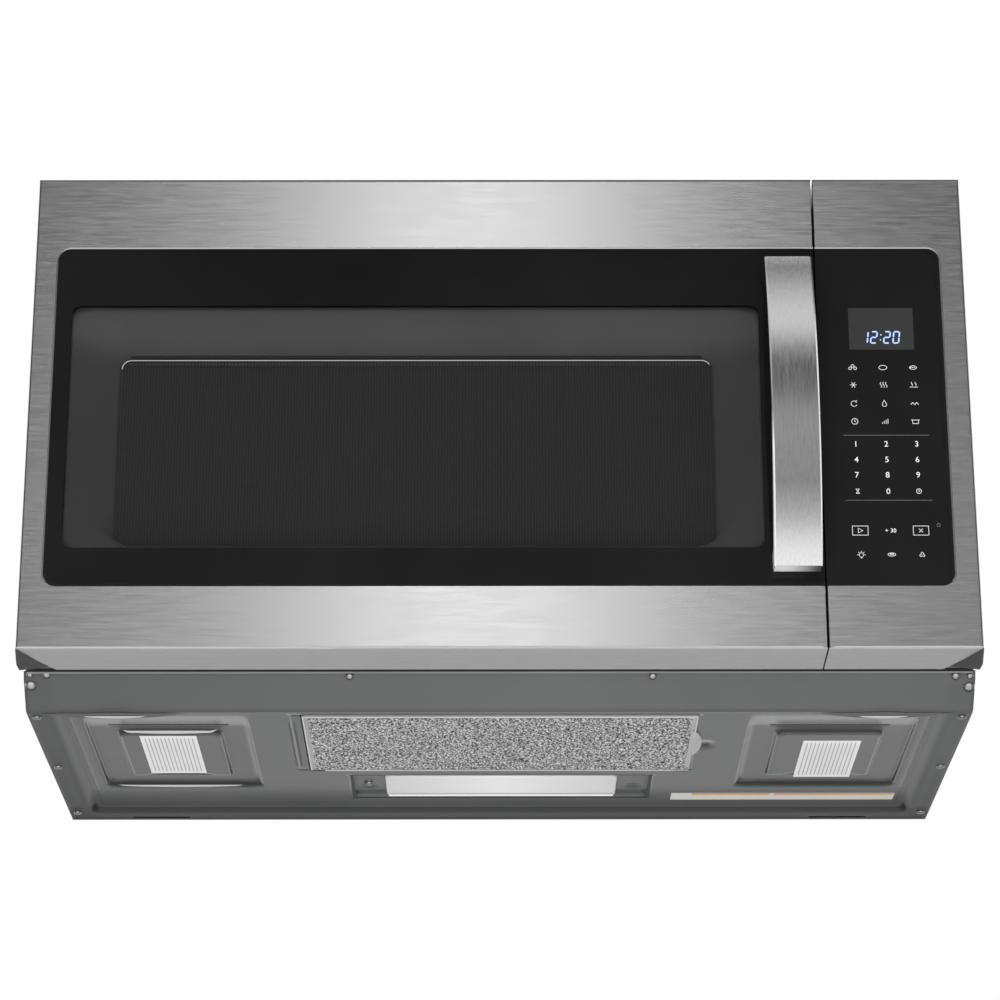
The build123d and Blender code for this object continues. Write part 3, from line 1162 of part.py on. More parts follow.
def control_board():
    """The main circuit board on the carrier's posts, with its larger parts."""
    y = BACKING_Y[1] + BOARD_GAP
    board = block(centred(PANEL_CENTRE, BOARD_WIDTH), (y, y + BOARD), BOARD_Z)
    for (x, drop), (width, height, depth) in BOARD_PARTS:
        part_y = (y + BOARD, y + BOARD + depth)
        board += block(centred(PANEL_CENTRE + x, width), part_y, centred(TOP - drop, height))
    return board


# ================================================================== turntable
FLOOR = CAVITY_Z[0]
ROLLER_Z = FLOOR + ROLLER_RADIUS + FIT
TRAY_Z = ROLLER_Z + ROLLER_RADIUS + FIT


def glass_tray():
    """A round tray with a raised edge."""
    rim = TRAY_RISE + TRAY_THICK
    points = [(0, 0), (TRAY_FLAT, 0), (TRAY_RADIUS - TRAY_RIM_FOOT, TRAY_RISE), (TRAY_RADIUS, TRAY_RISE),
              (TRAY_RADIUS, rim), (TRAY_RADIUS - TRAY_RIM, rim), (TRAY_FLAT - TRAY_SLOPE_SET, TRAY_THICK),
              (0, TRAY_THICK)]
    profile = Plane.XZ * make_face(Polyline(*points, close=True))
    return Pos(TURN_X, TURN_Y, TRAY_Z) * revolve(profile, Axis.Z)


def turntable_coupler():
    """The driver between motor and tray: a stem, a hub and three arms."""
    base = FLOOR + COUPLER_LIFT
    length, width, thick = COUPLER_ARM
    hub = rod((TURN_X, TURN_Y, base), (0, 0, 1), COUPLER_HUB, TRAY_Z - base)
    hub += rod((TURN_X, TURN_Y, base), (0, 0, -1), COUPLER_STEM, COUPLER_STEM_LENGTH)
    for turn in range(3):
        arm = block((0, length), centred(0, width), (TRAY_Z - thick, TRAY_Z))
        hub += Pos(TURN_X, TURN_Y, 0) * (Rot(0, 0, 120 * turn) * arm)
    return hub


def turntable_motor():
    """The slow motor under the cavity floor, bored for the coupler's stem."""
    top = FLOOR - CAVITY_SHEET
    reach, width, thick = MOTOR_EARS
    motor = rod((TURN_X, TURN_Y, top), (0, 0, -1), MOTOR_RADIUS, MOTOR_HEIGHT)
    motor += block(centred(TURN_X, 2 * (MOTOR_RADIUS + reach)), centred(TURN_Y, width), (top - thick, top))
    bore = (COUPLER_STEM + RUNNING, COUPLER_STEM_LENGTH + OVER)
    return motor - rod((TURN_X, TURN_Y, top + OVER), (0, 0, -1), *bore)


def roller_ring():
    """The ring that carries the three rollers on short stubs."""
    inner, outer = centred(RING_RADIUS, RING_WIDTH)
    ring = tube((TURN_X, TURN_Y, ROLLER_Z - RING_HEIGHT / 2), (0, 0, 1), outer, inner, RING_HEIGHT)
    cap = ROLLER_CIRCLE + ROLLER_WIDTH / 2 + FIT
    for turn in range(3):
        stub = rod((RING_RADIUS, 0, 0), (1, 0, 0), STUB_RADIUS, cap - RING_RADIUS)
        stub += rod((cap, 0, 0), (1, 0, 0), STUB_RADIUS + STUB_CAP, STUB_CAP)
        ring += Pos(TURN_X, TURN_Y, ROLLER_Z) * (Rot(0, 0, 120 * turn) * stub)
    return ring


def roller(turn):
    """One roller wheel, on its stub."""
    inner = ROLLER_CIRCLE - ROLLER_WIDTH / 2
    wheel = tube((inner, 0, 0), (1, 0, 0), ROLLER_RADIUS, STUB_RADIUS + RUNNING, ROLLER_WIDTH)
    return Pos(TURN_X, TURN_Y, ROLLER_Z) * (Rot(0, 0, 120 * turn) * wheel)


# ================================================================== microwave source and power
def waveguide():
    """The closed duct on the cavity's side wall that carries the magnetron."""
    y, z = grow(PORT_Y, DUCT_MARGIN[0]), grow(PORT_Z, DUCT_MARGIN[1])
    inner_y, inner_z = grow(y, -DUCT_SHEET), grow(z, -DUCT_SHEET)
    x = (BAY_LEFT, BAY_LEFT + DUCT_DEPTH)
    duct = block(x, y, z) - block((x[0] - OVER, x[1] - DUCT_SHEET), inner_y, inner_z)
    lip = (x[0], x[0] + DUCT_SHEET)
    duct += block(lip, grow(y, DUCT_LIP), grow(z, DUCT_LIP)) - block(grow(lip, OVER), inner_y, inner_z)
    hole = (x[1] - DUCT_SHEET - OVER, sum(y) / 2, sum(z) / 2)
    return duct - rod(hole, (1, 0, 0), DUCT_HOLE, DUCT_SHEET + 2 * OVER)


def waveguide_cover():
    """The thin sheet inside the cavity that covers the feed hole."""
    x = (CAVITY_X[1] - FEED_SHEET, CAVITY_X[1])
    return block(x, grow(PORT_Y, FEED_MARGIN), grow(PORT_Z, FEED_MARGIN))


def magnetron():
    """The magnetron: yoke, cooling fins, filter box and the antenna in the waveguide."""
    length, depth, height = YOKE_SIZE
    start = BAY_LEFT + DUCT_DEPTH
    end = start + length
    y, z = sum(PORT_Y) / 2, sum(PORT_Z) / 2
    yoke_y, yoke_z = centred(y, depth), centred(z, height)
    head = block((start, end), yoke_y, yoke_z)
    head -= block((start + YOKE_SHEET, end - YOKE_SHEET), grow(yoke_y, OVER), grow(yoke_z, -YOKE_SHEET))
    head += rod((start + OVER, y, z), (1, 0, 0), ANODE_RADIUS, length - 2 * OVER)
    for fin in range(FINS):
        fin_x = start + FIN_START + fin * FIN_PITCH
        head += block((fin_x, fin_x + FIN_SHEET), grow(yoke_y, -FIN_MARGIN), grow(yoke_z, -FIN_MARGIN))
    head += block((end, end + FILTER_BOX[0]), centred(y, FILTER_BOX[1]), centred(z, FILTER_BOX[2]))
    return head + rod((start + OVER, y, z), (-1, 0, 0), ANTENNA_RADIUS, ANTENNA_LENGTH + OVER)


def transformer():
    """The high-voltage transformer on the base: core, two windings and feet."""
    width, depth, height = CORE_SIZE
    x = (BAY_LEFT + CORE_LEFT, BAY_LEFT + CORE_LEFT + width)
    y = (-POWER_BACK - depth, -POWER_BACK)
    z = (FLOOR_UNDER, FLOOR_UNDER + height)
    middle = grow(x, -CORE_LIMB - CORE_WINDOW)
    windows = block(grow(x, -CORE_LIMB), grow(y, OVER), grow(z, -CORE_LIMB))
    core = block(x, y, z) - (windows - block(middle, grow(y, 2 * OVER), z))
    reach, inset, thick = CORE_FEET
    core += block(grow(x, reach), grow(y, -inset), (z[0], z[0] + thick))
    inner = CORE_LIMB + FIT
    winding = block(grow(x, -inner), grow(y, WINDING_REACH), grow(z, -inner))
    winding -= block(middle, grow(y, WINDING_REACH + OVER), z)
    return core, winding


def capacitor():
    """The oval high-voltage capacitor, strapped down beside the transformer."""
    width, depth, height = CAPACITOR_SIZE
    x = (BAY_LEFT + CAPACITOR_LEFT, BAY_LEFT + CAPACITOR_LEFT + width)
    y = (-POWER_BACK - depth, -POWER_BACK)
    top = FLOOR_UNDER + height
    can = plate_z(x, y, (FLOOR_UNDER, top), CAPACITOR_RADIUS)
    for middle in centred(sum(x) / 2, TERMINAL_SPACING):
        can += block(centred(middle, TERMINAL[0]), centred(sum(y) / 2, TERMINAL[1]), (top, top + TERMINAL[2]))
    return can


def line_filter_board():
    """The mains filter board on posts from the rear panel, with its coil, capacitor and fuse."""
    y = -CASE_SHEET - LINE_BOARD_STAND
    front = y - BOARD
    x = (BAY_LEFT + LINE_BOARD_LEFT, BAY_LEFT + LINE_BOARD_LEFT + LINE_BOARD_SIZE[0])
    z = (TOP - LINE_BOARD_TOP - LINE_BOARD_SIZE[1], TOP - LINE_BOARD_TOP)
    middle = sum(z) / 2
    board = block(x, (front, y), z)
    for post_x in grow(x, -LINE_POST_INSET):
        for post_z in grow(z, -LINE_POST_INSET):
            board += rod((post_x, y - BOARD / 2, post_z), (0, 1, 0), LINE_POST, LINE_BOARD_STAND + BOARD / 2)
    along, outer, inner, height = LINE_COIL
    board += tube((x[0] + along, front, middle), (0, -1, 0), outer, inner, height)
    along, width, height, length = LINE_CAPACITOR
    board += block((x[0] + along, x[0] + along + width), (front - height, front), centred(middle, length))
    along, radius, length = LINE_FUSE
    board += rod((x[0] + along, front - radius, middle - length / 2), (0, 0, 1), radius, length)
    clip_x = centred(x[0] + along, LINE_FUSE_CLIP[0])
    return board + block(clip_x, (front - LINE_FUSE_CLIP[1], front), centred(middle, length))


def cavity_lamp():
    """The cooking lamp behind the small holes in the cavity wall."""
    depth, width, height = LAMP_HOLDER
    y, z = LAMP_GRID_CENTRE
    base = BAY_LEFT + depth - LAMP_HOLDER_BASE
    inner = (width - 2 * LAMP_HOLDER_WALL, height - 2 * LAMP_HOLDER_WALL)
    holder = block((BAY_LEFT, BAY_LEFT + depth), centred(y, width), centred(z, height))
    holder -= block((BAY_LEFT - OVER, base), centred(y, inner[0]), centred(z, inner[1]))
    return holder + rod((base + OVER, y, z), (-1, 0, 0), LAMP_BULB[0], LAMP_BULB[1] + OVER)


# ================================================================== air: blower, cooling fan, vents
BLOWER_FLOOR = CAVITY_Z[1] + CAVITY_SHEET
SCROLL_RADIUS = BLOWER_RADIUS + BLOWER_ROOM
BLOWER_Z = BLOWER_FLOOR + BLOWER_FOOT + SCROLL_RADIUS + BLOWER_WALL
SCROLL_LEFT = BLOWER_MOTOR_LENGTH / 2 + BLOWER_MOTOR_GAP
WHEEL_LEFT = SCROLL_LEFT + BLOWER_WALL + WHEEL_GAP
WHEEL_X = (WHEEL_LEFT, WHEEL_LEFT + BLOWER_WIDTH)
SCROLL_X = (SCROLL_LEFT, WHEEL_X[1] + WHEEL_GAP + BLOWER_WALL)
OUTLET_TOP = INNER_TOP - OUTLET_DROP


def blower_wheel():
    """The right-hand wheel: a drive disc, blades and an end ring."""
    x0, x1 = WHEEL_X
    centre = (-BLOWER_Y, BLOWER_Z)
    bore = BLOWER_SHAFT + RUNNING
    sheet, edge = BLOWER_BLADE
    wheel = tube((x0, *centre), (1, 0, 0), BLOWER_RADIUS, bore, BLOWER_DISC)
    wheel += tube((x0, *centre), (1, 0, 0), BLOWER_HUB[0], bore, BLOWER_HUB[1])
    ring = (BLOWER_RADIUS - BLOWER_RING, BLOWER_RADIUS)
    wheel += tube((x1 - BLOWER_DISC, *centre), (1, 0, 0), ring[1], ring[0], BLOWER_DISC)
    blade_z = grow(ring, -edge)
    blade = block(grow(WHEEL_X, -BLOWER_DISC / 2), centred(0, sheet), blade_z)
    for turn in range(BLOWER_BLADES):
        wheel += Pos(0, *centre) * (Rot(360 * turn / BLOWER_BLADES, 0, 0) * blade)
    return wheel


def blower_shaft():
    """The shaft through the motor that carries both wheels."""
    reach = WHEEL_X[0] + BLOWER_HUB[1] + BLOWER_DISC
    return rod((-reach, -BLOWER_Y, BLOWER_Z), (1, 0, 0), BLOWER_SHAFT, 2 * reach)


def blower_motor():
    """The double-ended motor on a saddle, bored for its shaft."""
    x = centred(0, BLOWER_MOTOR_LENGTH)
    width, depth = MOTOR_SADDLE
    motor = rod((x[0], -BLOWER_Y, BLOWER_Z), (1, 0, 0), BLOWER_MOTOR, BLOWER_MOTOR_LENGTH)
    motor += block(centred(0, width), centred(-BLOWER_Y, depth), (BLOWER_FLOOR, BLOWER_Z - BLOWER_MOTOR / 2))
    bore_length = BLOWER_MOTOR_LENGTH + 2 * OVER
    return motor - rod((x[0] - OVER, -BLOWER_Y, BLOWER_Z), (1, 0, 0), BLOWER_SHAFT + RUNNING, bore_length)


def blower_scroll():
    """The right-hand scroll: a round casing with a chimney up to the outlet and an inlet in its side."""
    t = BLOWER_WALL
    inset, depth = SCROLL_FOOT
    centre = (-BLOWER_Y, BLOWER_Z)
    width = SCROLL_X[1] - SCROLL_X[0]
    outer = rod((SCROLL_X[0], *centre), (1, 0, 0), SCROLL_RADIUS + t, width)
    outer += block(SCROLL_X, centred(-BLOWER_Y, 2 * (SCROLL_RADIUS + t)), (BLOWER_Z, OUTLET_TOP))
    outer += block(grow(SCROLL_X, -inset), centred(-BLOWER_Y, depth), (BLOWER_FLOOR, BLOWER_Z))
    inside = grow(SCROLL_X, -t)
    hollow = rod((inside[0], *centre), (1, 0, 0), SCROLL_RADIUS, inside[1] - inside[0])
    hollow += block(inside, centred(-BLOWER_Y, 2 * SCROLL_RADIUS), (BLOWER_Z, OUTLET_TOP + OVER))
    outer -= hollow
    return outer - rod((SCROLL_X[0] - OVER, *centre), (1, 0, 0), BLOWER_INLET, width + 2 * OVER)


FAN_X = BAY_LEFT + (INNER_HALF - BAY_LEFT) / 2
FAN_Z = sum(PORT_Z) / 2
FAN_PLATE_Y = (-FAN_FROM_WALL, -FAN_FROM_WALL + FRAME_SHEET)
FAN_BLADE_Y = (FAN_PLATE_Y[0] - FAN_WIDTH, FAN_PLATE_Y[0])


def cooling_fan_blade():
    """Five blades on a hub, with the shaft into the motor."""
    y = sum(FAN_BLADE_Y) / 2
    fan = rod((0, -FAN_WIDTH / 2, 0), (0, 1, 0), FAN_HUB, FAN_WIDTH)
    blade = block((FAN_HUB - OVER, FAN_RADIUS + OVER), centred(0, FAN_BLADE_SHEET), centred(0, FAN_CHORD))
    keep = rod((0, -FAN_WIDTH / 2, 0), (0, 1, 0), FAN_RADIUS, FAN_WIDTH)
    for turn in range(FAN_BLADES):
        fan += Rot(0, 360 * turn / FAN_BLADES, 0) * (Rot(FAN_BLADE_TILT, 0, 0) * blade)
    fan = fan & keep
    fan += rod((0, FAN_WIDTH / 2 - OVER, 0), (0, 1, 0), FAN_SHAFT, FAN_SHAFT_LENGTH + OVER)
    return Pos(FAN_X, y, FAN_Z) * fan


def cooling_fan_motor():
    """The small motor behind the fan, held by arms on the shroud's back."""
    width, sheet = FAN_ARM
    y = FAN_PLATE_Y[1] + FAN_MOTOR_GAP
    reach = FAN_RADIUS + FAN_ARM_REACH
    motor = rod((FAN_X, y, FAN_Z), (0, 1, 0), FAN_MOTOR_RADIUS, FAN_MOTOR_LENGTH)
    arm = block((-reach, reach), (y, y + sheet), centred(0, width))
    foot = block((reach - FAN_ARM_FOOT, reach), (FAN_PLATE_Y[1], y + sheet), centred(0, width))
    arm += foot
    arm += mirror_x(foot)
    for tilt in (45, -45):
        motor += Pos(FAN_X, 0, FAN_Z) * (Rot(0, tilt, 0) * arm)
    return motor - rod((FAN_X, y - OVER, FAN_Z), (0, 1, 0), FAN_SHAFT + RUNNING, FAN_SHAFT_LENGTH)


def cooling_fan_shroud():
    """The baffle across the component bay, with a ring round the fan."""
    shroud = block((BAY_LEFT, INNER_HALF), FAN_PLATE_Y, centred(FAN_Z, 2 * (FAN_RADIUS + FAN_PLATE_MARGIN)))
    ring = FAN_RADIUS + FAN_RING
    shroud += rod((FAN_X, FAN_BLADE_Y[0], FAN_Z), (0, 1, 0), ring + FAN_RING_SHEET, FAN_WIDTH)
    bore_length = FAN_WIDTH + FRAME_SHEET + 2 * OVER
    return shroud - rod((FAN_X, FAN_BLADE_Y[0] - OVER, FAN_Z), (0, 1, 0), ring, bore_length)


def vent_grille():
    """The louvred outlet in the top, behind the door."""
    z = (TOP - GRILLE_HEIGHT, TOP)
    x, y = grow(GRILLE_X, -FIT), grow(GRILLE_Y, -FIT)
    grille = block(x, y, z)
    flange_z = (INNER_TOP - GRILLE_FLANGE, INNER_TOP)
    grille += block(grow(GRILLE_X, GRILLE_RIM), grow(GRILLE_Y, GRILLE_RIM), flange_z)
    slots = int((x[1] - x[0] - 2 * GRILLE_RIM) / GRILLE_PITCH)
    start = (x[0] + x[1]) / 2 - (slots - 1) * GRILLE_PITCH / 2
    for slot in range(slots):
        slot_x = centred(start + slot * GRILLE_PITCH, GRILLE_PITCH - GRILLE_BAR)
        grille -= block(slot_x, grow(y, -GRILLE_RIM), grow(z, OVER))
    return grille


def charcoal_filter():
    """The carbon filter that hangs under the grille."""
    z = TOP - GRILLE_HEIGHT - FIT
    return block(grow(GRILLE_X, -CHARCOAL_END), grow(GRILLE_Y, -CHARCOAL_SIDE), (z - CHARCOAL_HEIGHT, z))


def cabinet_nut_plates():
    """Two threaded plates under the top that take the bolts through the cabinet above."""
    width, depth, thick = NUT_PLATE
    plates = []
    for x in centred(0, BOLT_SPACING):
        plate = block(centred(x, width), centred(-BOLT_Y, depth), (INNER_TOP - thick, INNER_TOP))
        start = (x, -BOLT_Y, INNER_TOP - thick - OVER)
        plates.append(plate - rod(start, (0, 0, 1), BOLT_HOLE, thick + 2 * OVER))
    return plates


def cord_gland():
    """The bushing in the top where the power cord leaves."""
    x, y = GLAND
    wider, thick = GLAND_COLLAR
    gland = rod((x, y, INNER_TOP - GLAND_DEPTH), (0, 0, 1), GLAND_HOLE - FIT, GLAND_DEPTH + CASE_SHEET)
    gland += rod((x, y, INNER_TOP - thick), (0, 0, 1), GLAND_HOLE + wider, thick)
    bore_length = GLAND_DEPTH + CASE_SHEET + 2 * OVER
    return gland - rod((x, y, INNER_TOP - GLAND_DEPTH - OVER), (0, 0, 1), GLAND_BORE, bore_length)


# ================================================================== write every node
os.makedirs("parts", exist_ok=True)

save("outer_case", outer_case())
save("rear_panel", rear_panel())
save("base_plate", base_plate())
save("front_frame", front_frame())
save("oven_cavity", oven_cavity())

filter_frame, filter_mesh = grease_filter()
save("filter_frame", filter_frame)
save("filter_mesh", filter_mesh)
lamp_cover, lamp_lens, lamp_board, lamp_screw = cooktop_lamp()
save("lamp_cover", lamp_cover)
save("lamp_lens", lamp_lens)
save("cooktop_lamp_board", lamp_board)
side_screws, slope_screws = case_screws()
save("base_screws", lamp_screw, *side_screws)
save("front_screws", *slope_screws)

save("door_skin", door_skin())
save("door_glass", door_glass())
save("door_bezel", door_bezel())
save("door_screen", door_screen())
save("door_inner_panel", door_inner_panel())
save("choke_cover", choke_cover())
save("inner_window", inner_window())
save("door_handle", door_handle())
save("handle_screws", *handle_screws())
save("hinge_arms", hinge_arm(ARM_TOP_Z, -1), hinge_arm(ARM_BOTTOM_Z, 1))
save("hinge_brackets", hinge_bracket(ARM_TOP_Z, -1), hinge_bracket(ARM_BOTTOM_Z, 1))
save("door_latch", door_latch())
save("latch_spring", latch_spring())
save("interlock_switches", *interlock_switches())
save("switch_bracket", switch_bracket())
for name, height in PLUNGER_PLACES:
    save(f"plunger_{name}", plunger(height))

save("panel_frame", face_skin(PANEL_SEAM, SIDE, PANEL_END_BAND))
save("panel_glass", face_glass(PANEL_SEAM, SIDE, PANEL_END_BAND))
save("panel_backing", panel_backing())
save("display_module", display_module())
save("control_board", control_board())

save("glass_tray", glass_tray())
save("turntable_coupler", turntable_coupler())
save("turntable_motor", turntable_motor())
save("roller_ring", roller_ring())
for turn, letter in enumerate("abc"):
    save(f"roller_{letter}", roller(turn))

save("waveguide", waveguide())
save("waveguide_cover", waveguide_cover())
save("magnetron", magnetron())
core, winding = transformer()
save("transformer", core, winding)
save("capacitor", capacitor())
save("line_filter_board", line_filter_board())
save("cavity_lamp", cavity_lamp())

wheel = blower_wheel()
save("blower_wheels", wheel, mirror_x(wheel))
save("blower_shaft", blower_shaft())
save("blower_motor", blower_motor())
scroll = blower_scroll()
save("blower_housing", scroll, mirror_x(scroll))
save("cooling_fan_blade", cooling_fan_blade())
save("cooling_fan_motor", cooling_fan_motor())
save("cooling_fan_shroud", cooling_fan_shroud())

save("vent_grille", vent_grille())
save("charcoal_filter", charcoal_filter())
save("cabinet_nut_plates", *cabinet_nut_plates())
save("cord_gland", cord_gland())
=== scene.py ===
import json
import math

import bpy
import numpy as np
from mathutils import Matrix, Vector

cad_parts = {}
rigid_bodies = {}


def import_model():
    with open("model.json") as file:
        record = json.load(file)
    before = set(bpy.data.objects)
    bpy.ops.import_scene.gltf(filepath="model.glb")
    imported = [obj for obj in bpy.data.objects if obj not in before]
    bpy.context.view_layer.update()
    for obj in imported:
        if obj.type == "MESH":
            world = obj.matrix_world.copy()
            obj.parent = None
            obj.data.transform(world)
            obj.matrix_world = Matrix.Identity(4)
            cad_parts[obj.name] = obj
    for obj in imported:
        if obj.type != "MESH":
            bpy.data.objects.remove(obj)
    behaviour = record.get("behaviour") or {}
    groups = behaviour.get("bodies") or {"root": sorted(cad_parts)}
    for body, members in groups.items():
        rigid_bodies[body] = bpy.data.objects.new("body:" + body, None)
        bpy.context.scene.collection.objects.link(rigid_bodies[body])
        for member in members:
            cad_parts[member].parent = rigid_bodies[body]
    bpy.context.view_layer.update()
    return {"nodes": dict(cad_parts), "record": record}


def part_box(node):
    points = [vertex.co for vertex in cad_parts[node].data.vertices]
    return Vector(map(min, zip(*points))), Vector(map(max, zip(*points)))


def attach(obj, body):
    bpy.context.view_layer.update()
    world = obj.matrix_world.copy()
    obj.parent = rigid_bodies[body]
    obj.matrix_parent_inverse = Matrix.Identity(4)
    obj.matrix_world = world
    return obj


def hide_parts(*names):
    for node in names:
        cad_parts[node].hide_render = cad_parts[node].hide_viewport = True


# Looks of an over-the-range microwave oven. X runs right, Y back to the wall, Z up, from the middle
# of the wall face. Shapes are worked out in millimetres and written to the meshes in metres.

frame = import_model()
MM = 0.001


def node_span(name, axis):
    """The low and high side of a node's box along an axis (0, 1 or 2), in millimetres."""
    low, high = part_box(name)
    return low[axis] / MM, high[axis] / MM


# ------------------------------------------------------------------ sizes
TOP, BOTTOM, FRONT = 217.5, -217.5, -398.0
GLASS_FACE = node_span("door_glass", 1)[0]
SHEET = 1.2
# The case from its front edge: a ledge, a small step, the slope and the bend into the flat bottom.
NOSE, SLOPE_START, BEND, PLATE_FRONT = -191.5, -344.5, -321.0, -348.5
STEP_DROP, STEP_LENGTH, LEDGE_TILT = 5.0, 1.8, 0.09
SLOPE_TOP = SLOPE_START + STEP_LENGTH
SLOPE_FALL = (NOSE - STEP_DROP - BOTTOM) / (BEND - SLOPE_TOP)
BEND_ROUNDING = 2.0
CASE_HALF, CORNER_CUT, LIP_START = 379.3, 4.0, -188.8
# Pressings of the underside, by their sides in X and in Y, with their depths and the lengths of their ramps.
RECESS_X, RECESS_Y = (-361.0, 361.0), (-317.0, -23.0)
RECESS_DEPTH, RECESS_RADIUS = 5.3, 9.0
RECESS_SIDE_RAMP, RECESS_END_RAMP = 8.0, 3.0
FLOOR = BOTTOM + RECESS_DEPTH
BEAD_X, BEAD_WIDTH, BEAD_DEPTH = 364.5, 3.0, 0.7
LINE_X, LINE_WIDTH, LINE_DEPTH = 349.0, 0.9, 0.6
POCKETS_X, POCKETS_Y = ((-339.0, -204.0), (203.0, 341.0)), (-274.0, -84.0)
POCKET_FRONT, POCKET_FADE = -335.0, (-300.0, 48.0)
POCKET_DEPTH, POCKET_RADIUS, POCKET_MARGIN = 3.5, 12.0, 24.0
SIDE_RAMP, FRONT_RAMPS, REAR_RAMPS = 2.5, (30.0, 9.0), (13.0, 26.0)
DARTS, DART_LENGTH, DART_DEPTH = ((-309.5, 24.0), (309.0, 20.0)), 11.0, 0.8
DIMPLE, DIMPLE_DEPTH = (171.0, -212.0, 9.0, 16.0), 1.6
SCREW_X, SCREWS_Y, SCREW_DIMPLE, SCREW_DIMPLE_DEPTH = 372.0, (BEND + 13.0, -167.0, -25.0), 6.5, 0.7
SLOTS_X, SLOTS_Y = ((-325.0, -275.0), (275.0, 325.0)), (-9.75, -4.25)
# The filter with the channel beside it, and the lamp.
FILTER_Y = (-296.0, -139.0)
FILTER_HOLE_X, FILTER_HOLE_Y = (-169.1, 161.8), (-296.3, -138.7)
CHANNEL_X, CHANNEL_Y = (-176.0, -161.6), (-296.0, -138.9)
GROOVES_X = (-171.5, -167.5)
NET_X, NET_Y, NET_CELL, NET_CRUMPLE = (-156.0, 156.5), (-286.5, -143.0), 1.25, 0.9
LAMP_X, LAMP_Y, LAMP_RECESS = (-127.5, 130.5), (-122.0, -49.0), 4.0
LENS_X, LENS_SHOWN = (-98.5, 101.5), (-102.0, -50.0)
# The front: the seam, the glass and its black margin, the mouth of the moulding and its window.
DOOR_SEAM, PANEL_SEAM = 256.9, 258.1
GLASS_LEFT, EDGE_RIGHT, EDGE_Z, EDGE_RADIUS = -361.0, 360.1, (-138.0, 155.5), 11.0
MOUTH_X, MOUTH_Z = (-347.5, 210.9), (-105.5, 104.5)
WINDOW_X, WINDOW_Z, WINDOW_RADIUS = (-308.0, 172.9), (-95.5, 66.5), 8.0
STEP_HEIGHT = 3.2


def middle(pair):
    return (pair[0] + pair[1]) / 2


def half(pair):
    return (pair[1] - pair[0]) / 2


def grow(pair, amount):
    return (pair[0] - amount, pair[1] + amount)


def grey(value):
    """The grey of a level; a colour stays as it is."""
    return value if isinstance(value, tuple) else (value, value, value)


# ------------------------------------------------------------------ meshes
def grid_faces(rows, columns, closed_rows=False, closed_columns=False):
    """Quads between neighbouring grid points; a closed direction joins its last line to its first."""
    r = np.arange(rows if closed_rows else rows - 1)
    c = np.arange(columns if closed_columns else columns - 1)
    r, c = np.meshgrid(r, c, indexing="ij")
    r2, c2 = (r + 1) % rows, (c + 1) % columns
    return np.stack([r * columns + c, r2 * columns + c, r2 * columns + c2, r * columns + c2], -1).reshape(-1, 4)


def piece(name, points, faces, finish, body="oven", slot="painted_grey", smooth=True, thickness=0.0):
    """A mesh object from points in millimetres, riding on a body; a thickness goes behind its faces."""
    mesh = bpy.data.meshes.new(name)
    mesh.from_pydata((np.asarray(points, float).reshape(-1, 3) * MM).tolist(), [], [list(face) for face in faces])
    mesh.update()
    mesh.polygons.foreach_set("use_smooth", np.full(len(mesh.polygons), smooth))
    made = bpy.data.objects.new(name, mesh)
    bpy.context.scene.collection.objects.link(made)
    mesh.materials.append(finish)
    if thickness:
        sheet = made.modifiers.new("sheet", "SOLIDIFY")
        sheet.thickness, sheet.offset = thickness * MM, -1.0
    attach(made, body)
    return made


def lines_through(low, high, step, *exact):
    """Rising grid lines from low to high at about a step, with every exact value among them."""
    stops = sorted({low, high, *[v for v in exact if low < v < high]})
    parts = [np.linspace(a, b, max(2, int(math.ceil((b - a) / step)) + 1))[:-1] for a, b in zip(stops, stops[1:])]
    return np.append(np.concatenate(parts), high)


def step_up(t):
    """0 to 1 with level ends: 3t^2 - 2t^3, held outside."""
    t = np.clip(t, 0.0, 1.0)
    return t * t * (3 - 2 * t)


def rounded_distance(x, y, box_x, box_y, radius):
    """Distance from a rounded rectangle's edge, below zero inside, and how much it is an end edge."""
    qx = np.abs(x - middle(box_x)) - half(box_x) + radius
    qy = np.abs(y - middle(box_y)) - half(box_y) + radius
    outside = np.hypot(np.maximum(qx, 0), np.maximum(qy, 0))
    inside = np.minimum(np.maximum(qx, qy), 0)
    return outside + inside - radius, step_up((qy - qx) / radius / 2 + 0.5)


def sheet(name, x, y, height, finish, body="oven", slot="painted_grey", holes=(), **settings):
    """A grid of points as one sheet, without the faces whose middle lies in a hole, a pair of its sides."""
    faces = grid_faces(*x.shape)
    mid_x, mid_y = x.ravel()[faces].mean(1), y.ravel()[faces].mean(1)
    kept = np.ones(len(faces), bool)
    for hole_x, hole_y in holes:
        kept &= ~((mid_x > hole_x[0]) & (mid_x < hole_x[1]) & (mid_y > hole_y[0]) & (mid_y < hole_y[1]))
    used, faces = np.unique(faces[kept], return_inverse=True)
    points = np.stack([x, y, height], -1).reshape(-1, 3)[used]
    return piece(name, points, faces.reshape(-1, 4), finish, body, slot, **settings)


# ------------------------------------------------------------------ shader helpers
def add(tree, kind, values=None, **settings):
    """A shader node with its settings and the plain values of its inputs."""
    made = tree.nodes.new(kind)
    for key, value in settings.items():
        setattr(made, key, value)
    for key, value in (values or {}).items():
        made.inputs[key].default_value = value
    return made


def wire(tree, start, start_socket, end, end_socket):
    tree.links.new(start.outputs[start_socket], end.inputs[end_socket])


def feed(tree, values, end):
    """Sockets {socket: value} of a node; a value is a plain one or the (node, socket) that it comes from."""
    for socket, value in values.items():
        if isinstance(value, tuple) and isinstance(value[0], bpy.types.Node):
            wire(tree, *value, end, socket)
        elif value is not None:
            end.inputs[socket].default_value = value


def maths(tree, operation, first, second=None):
    made = add(tree, "ShaderNodeMath", operation=operation)
    feed(tree, {0: first, 1: second}, made)
    return made, 0


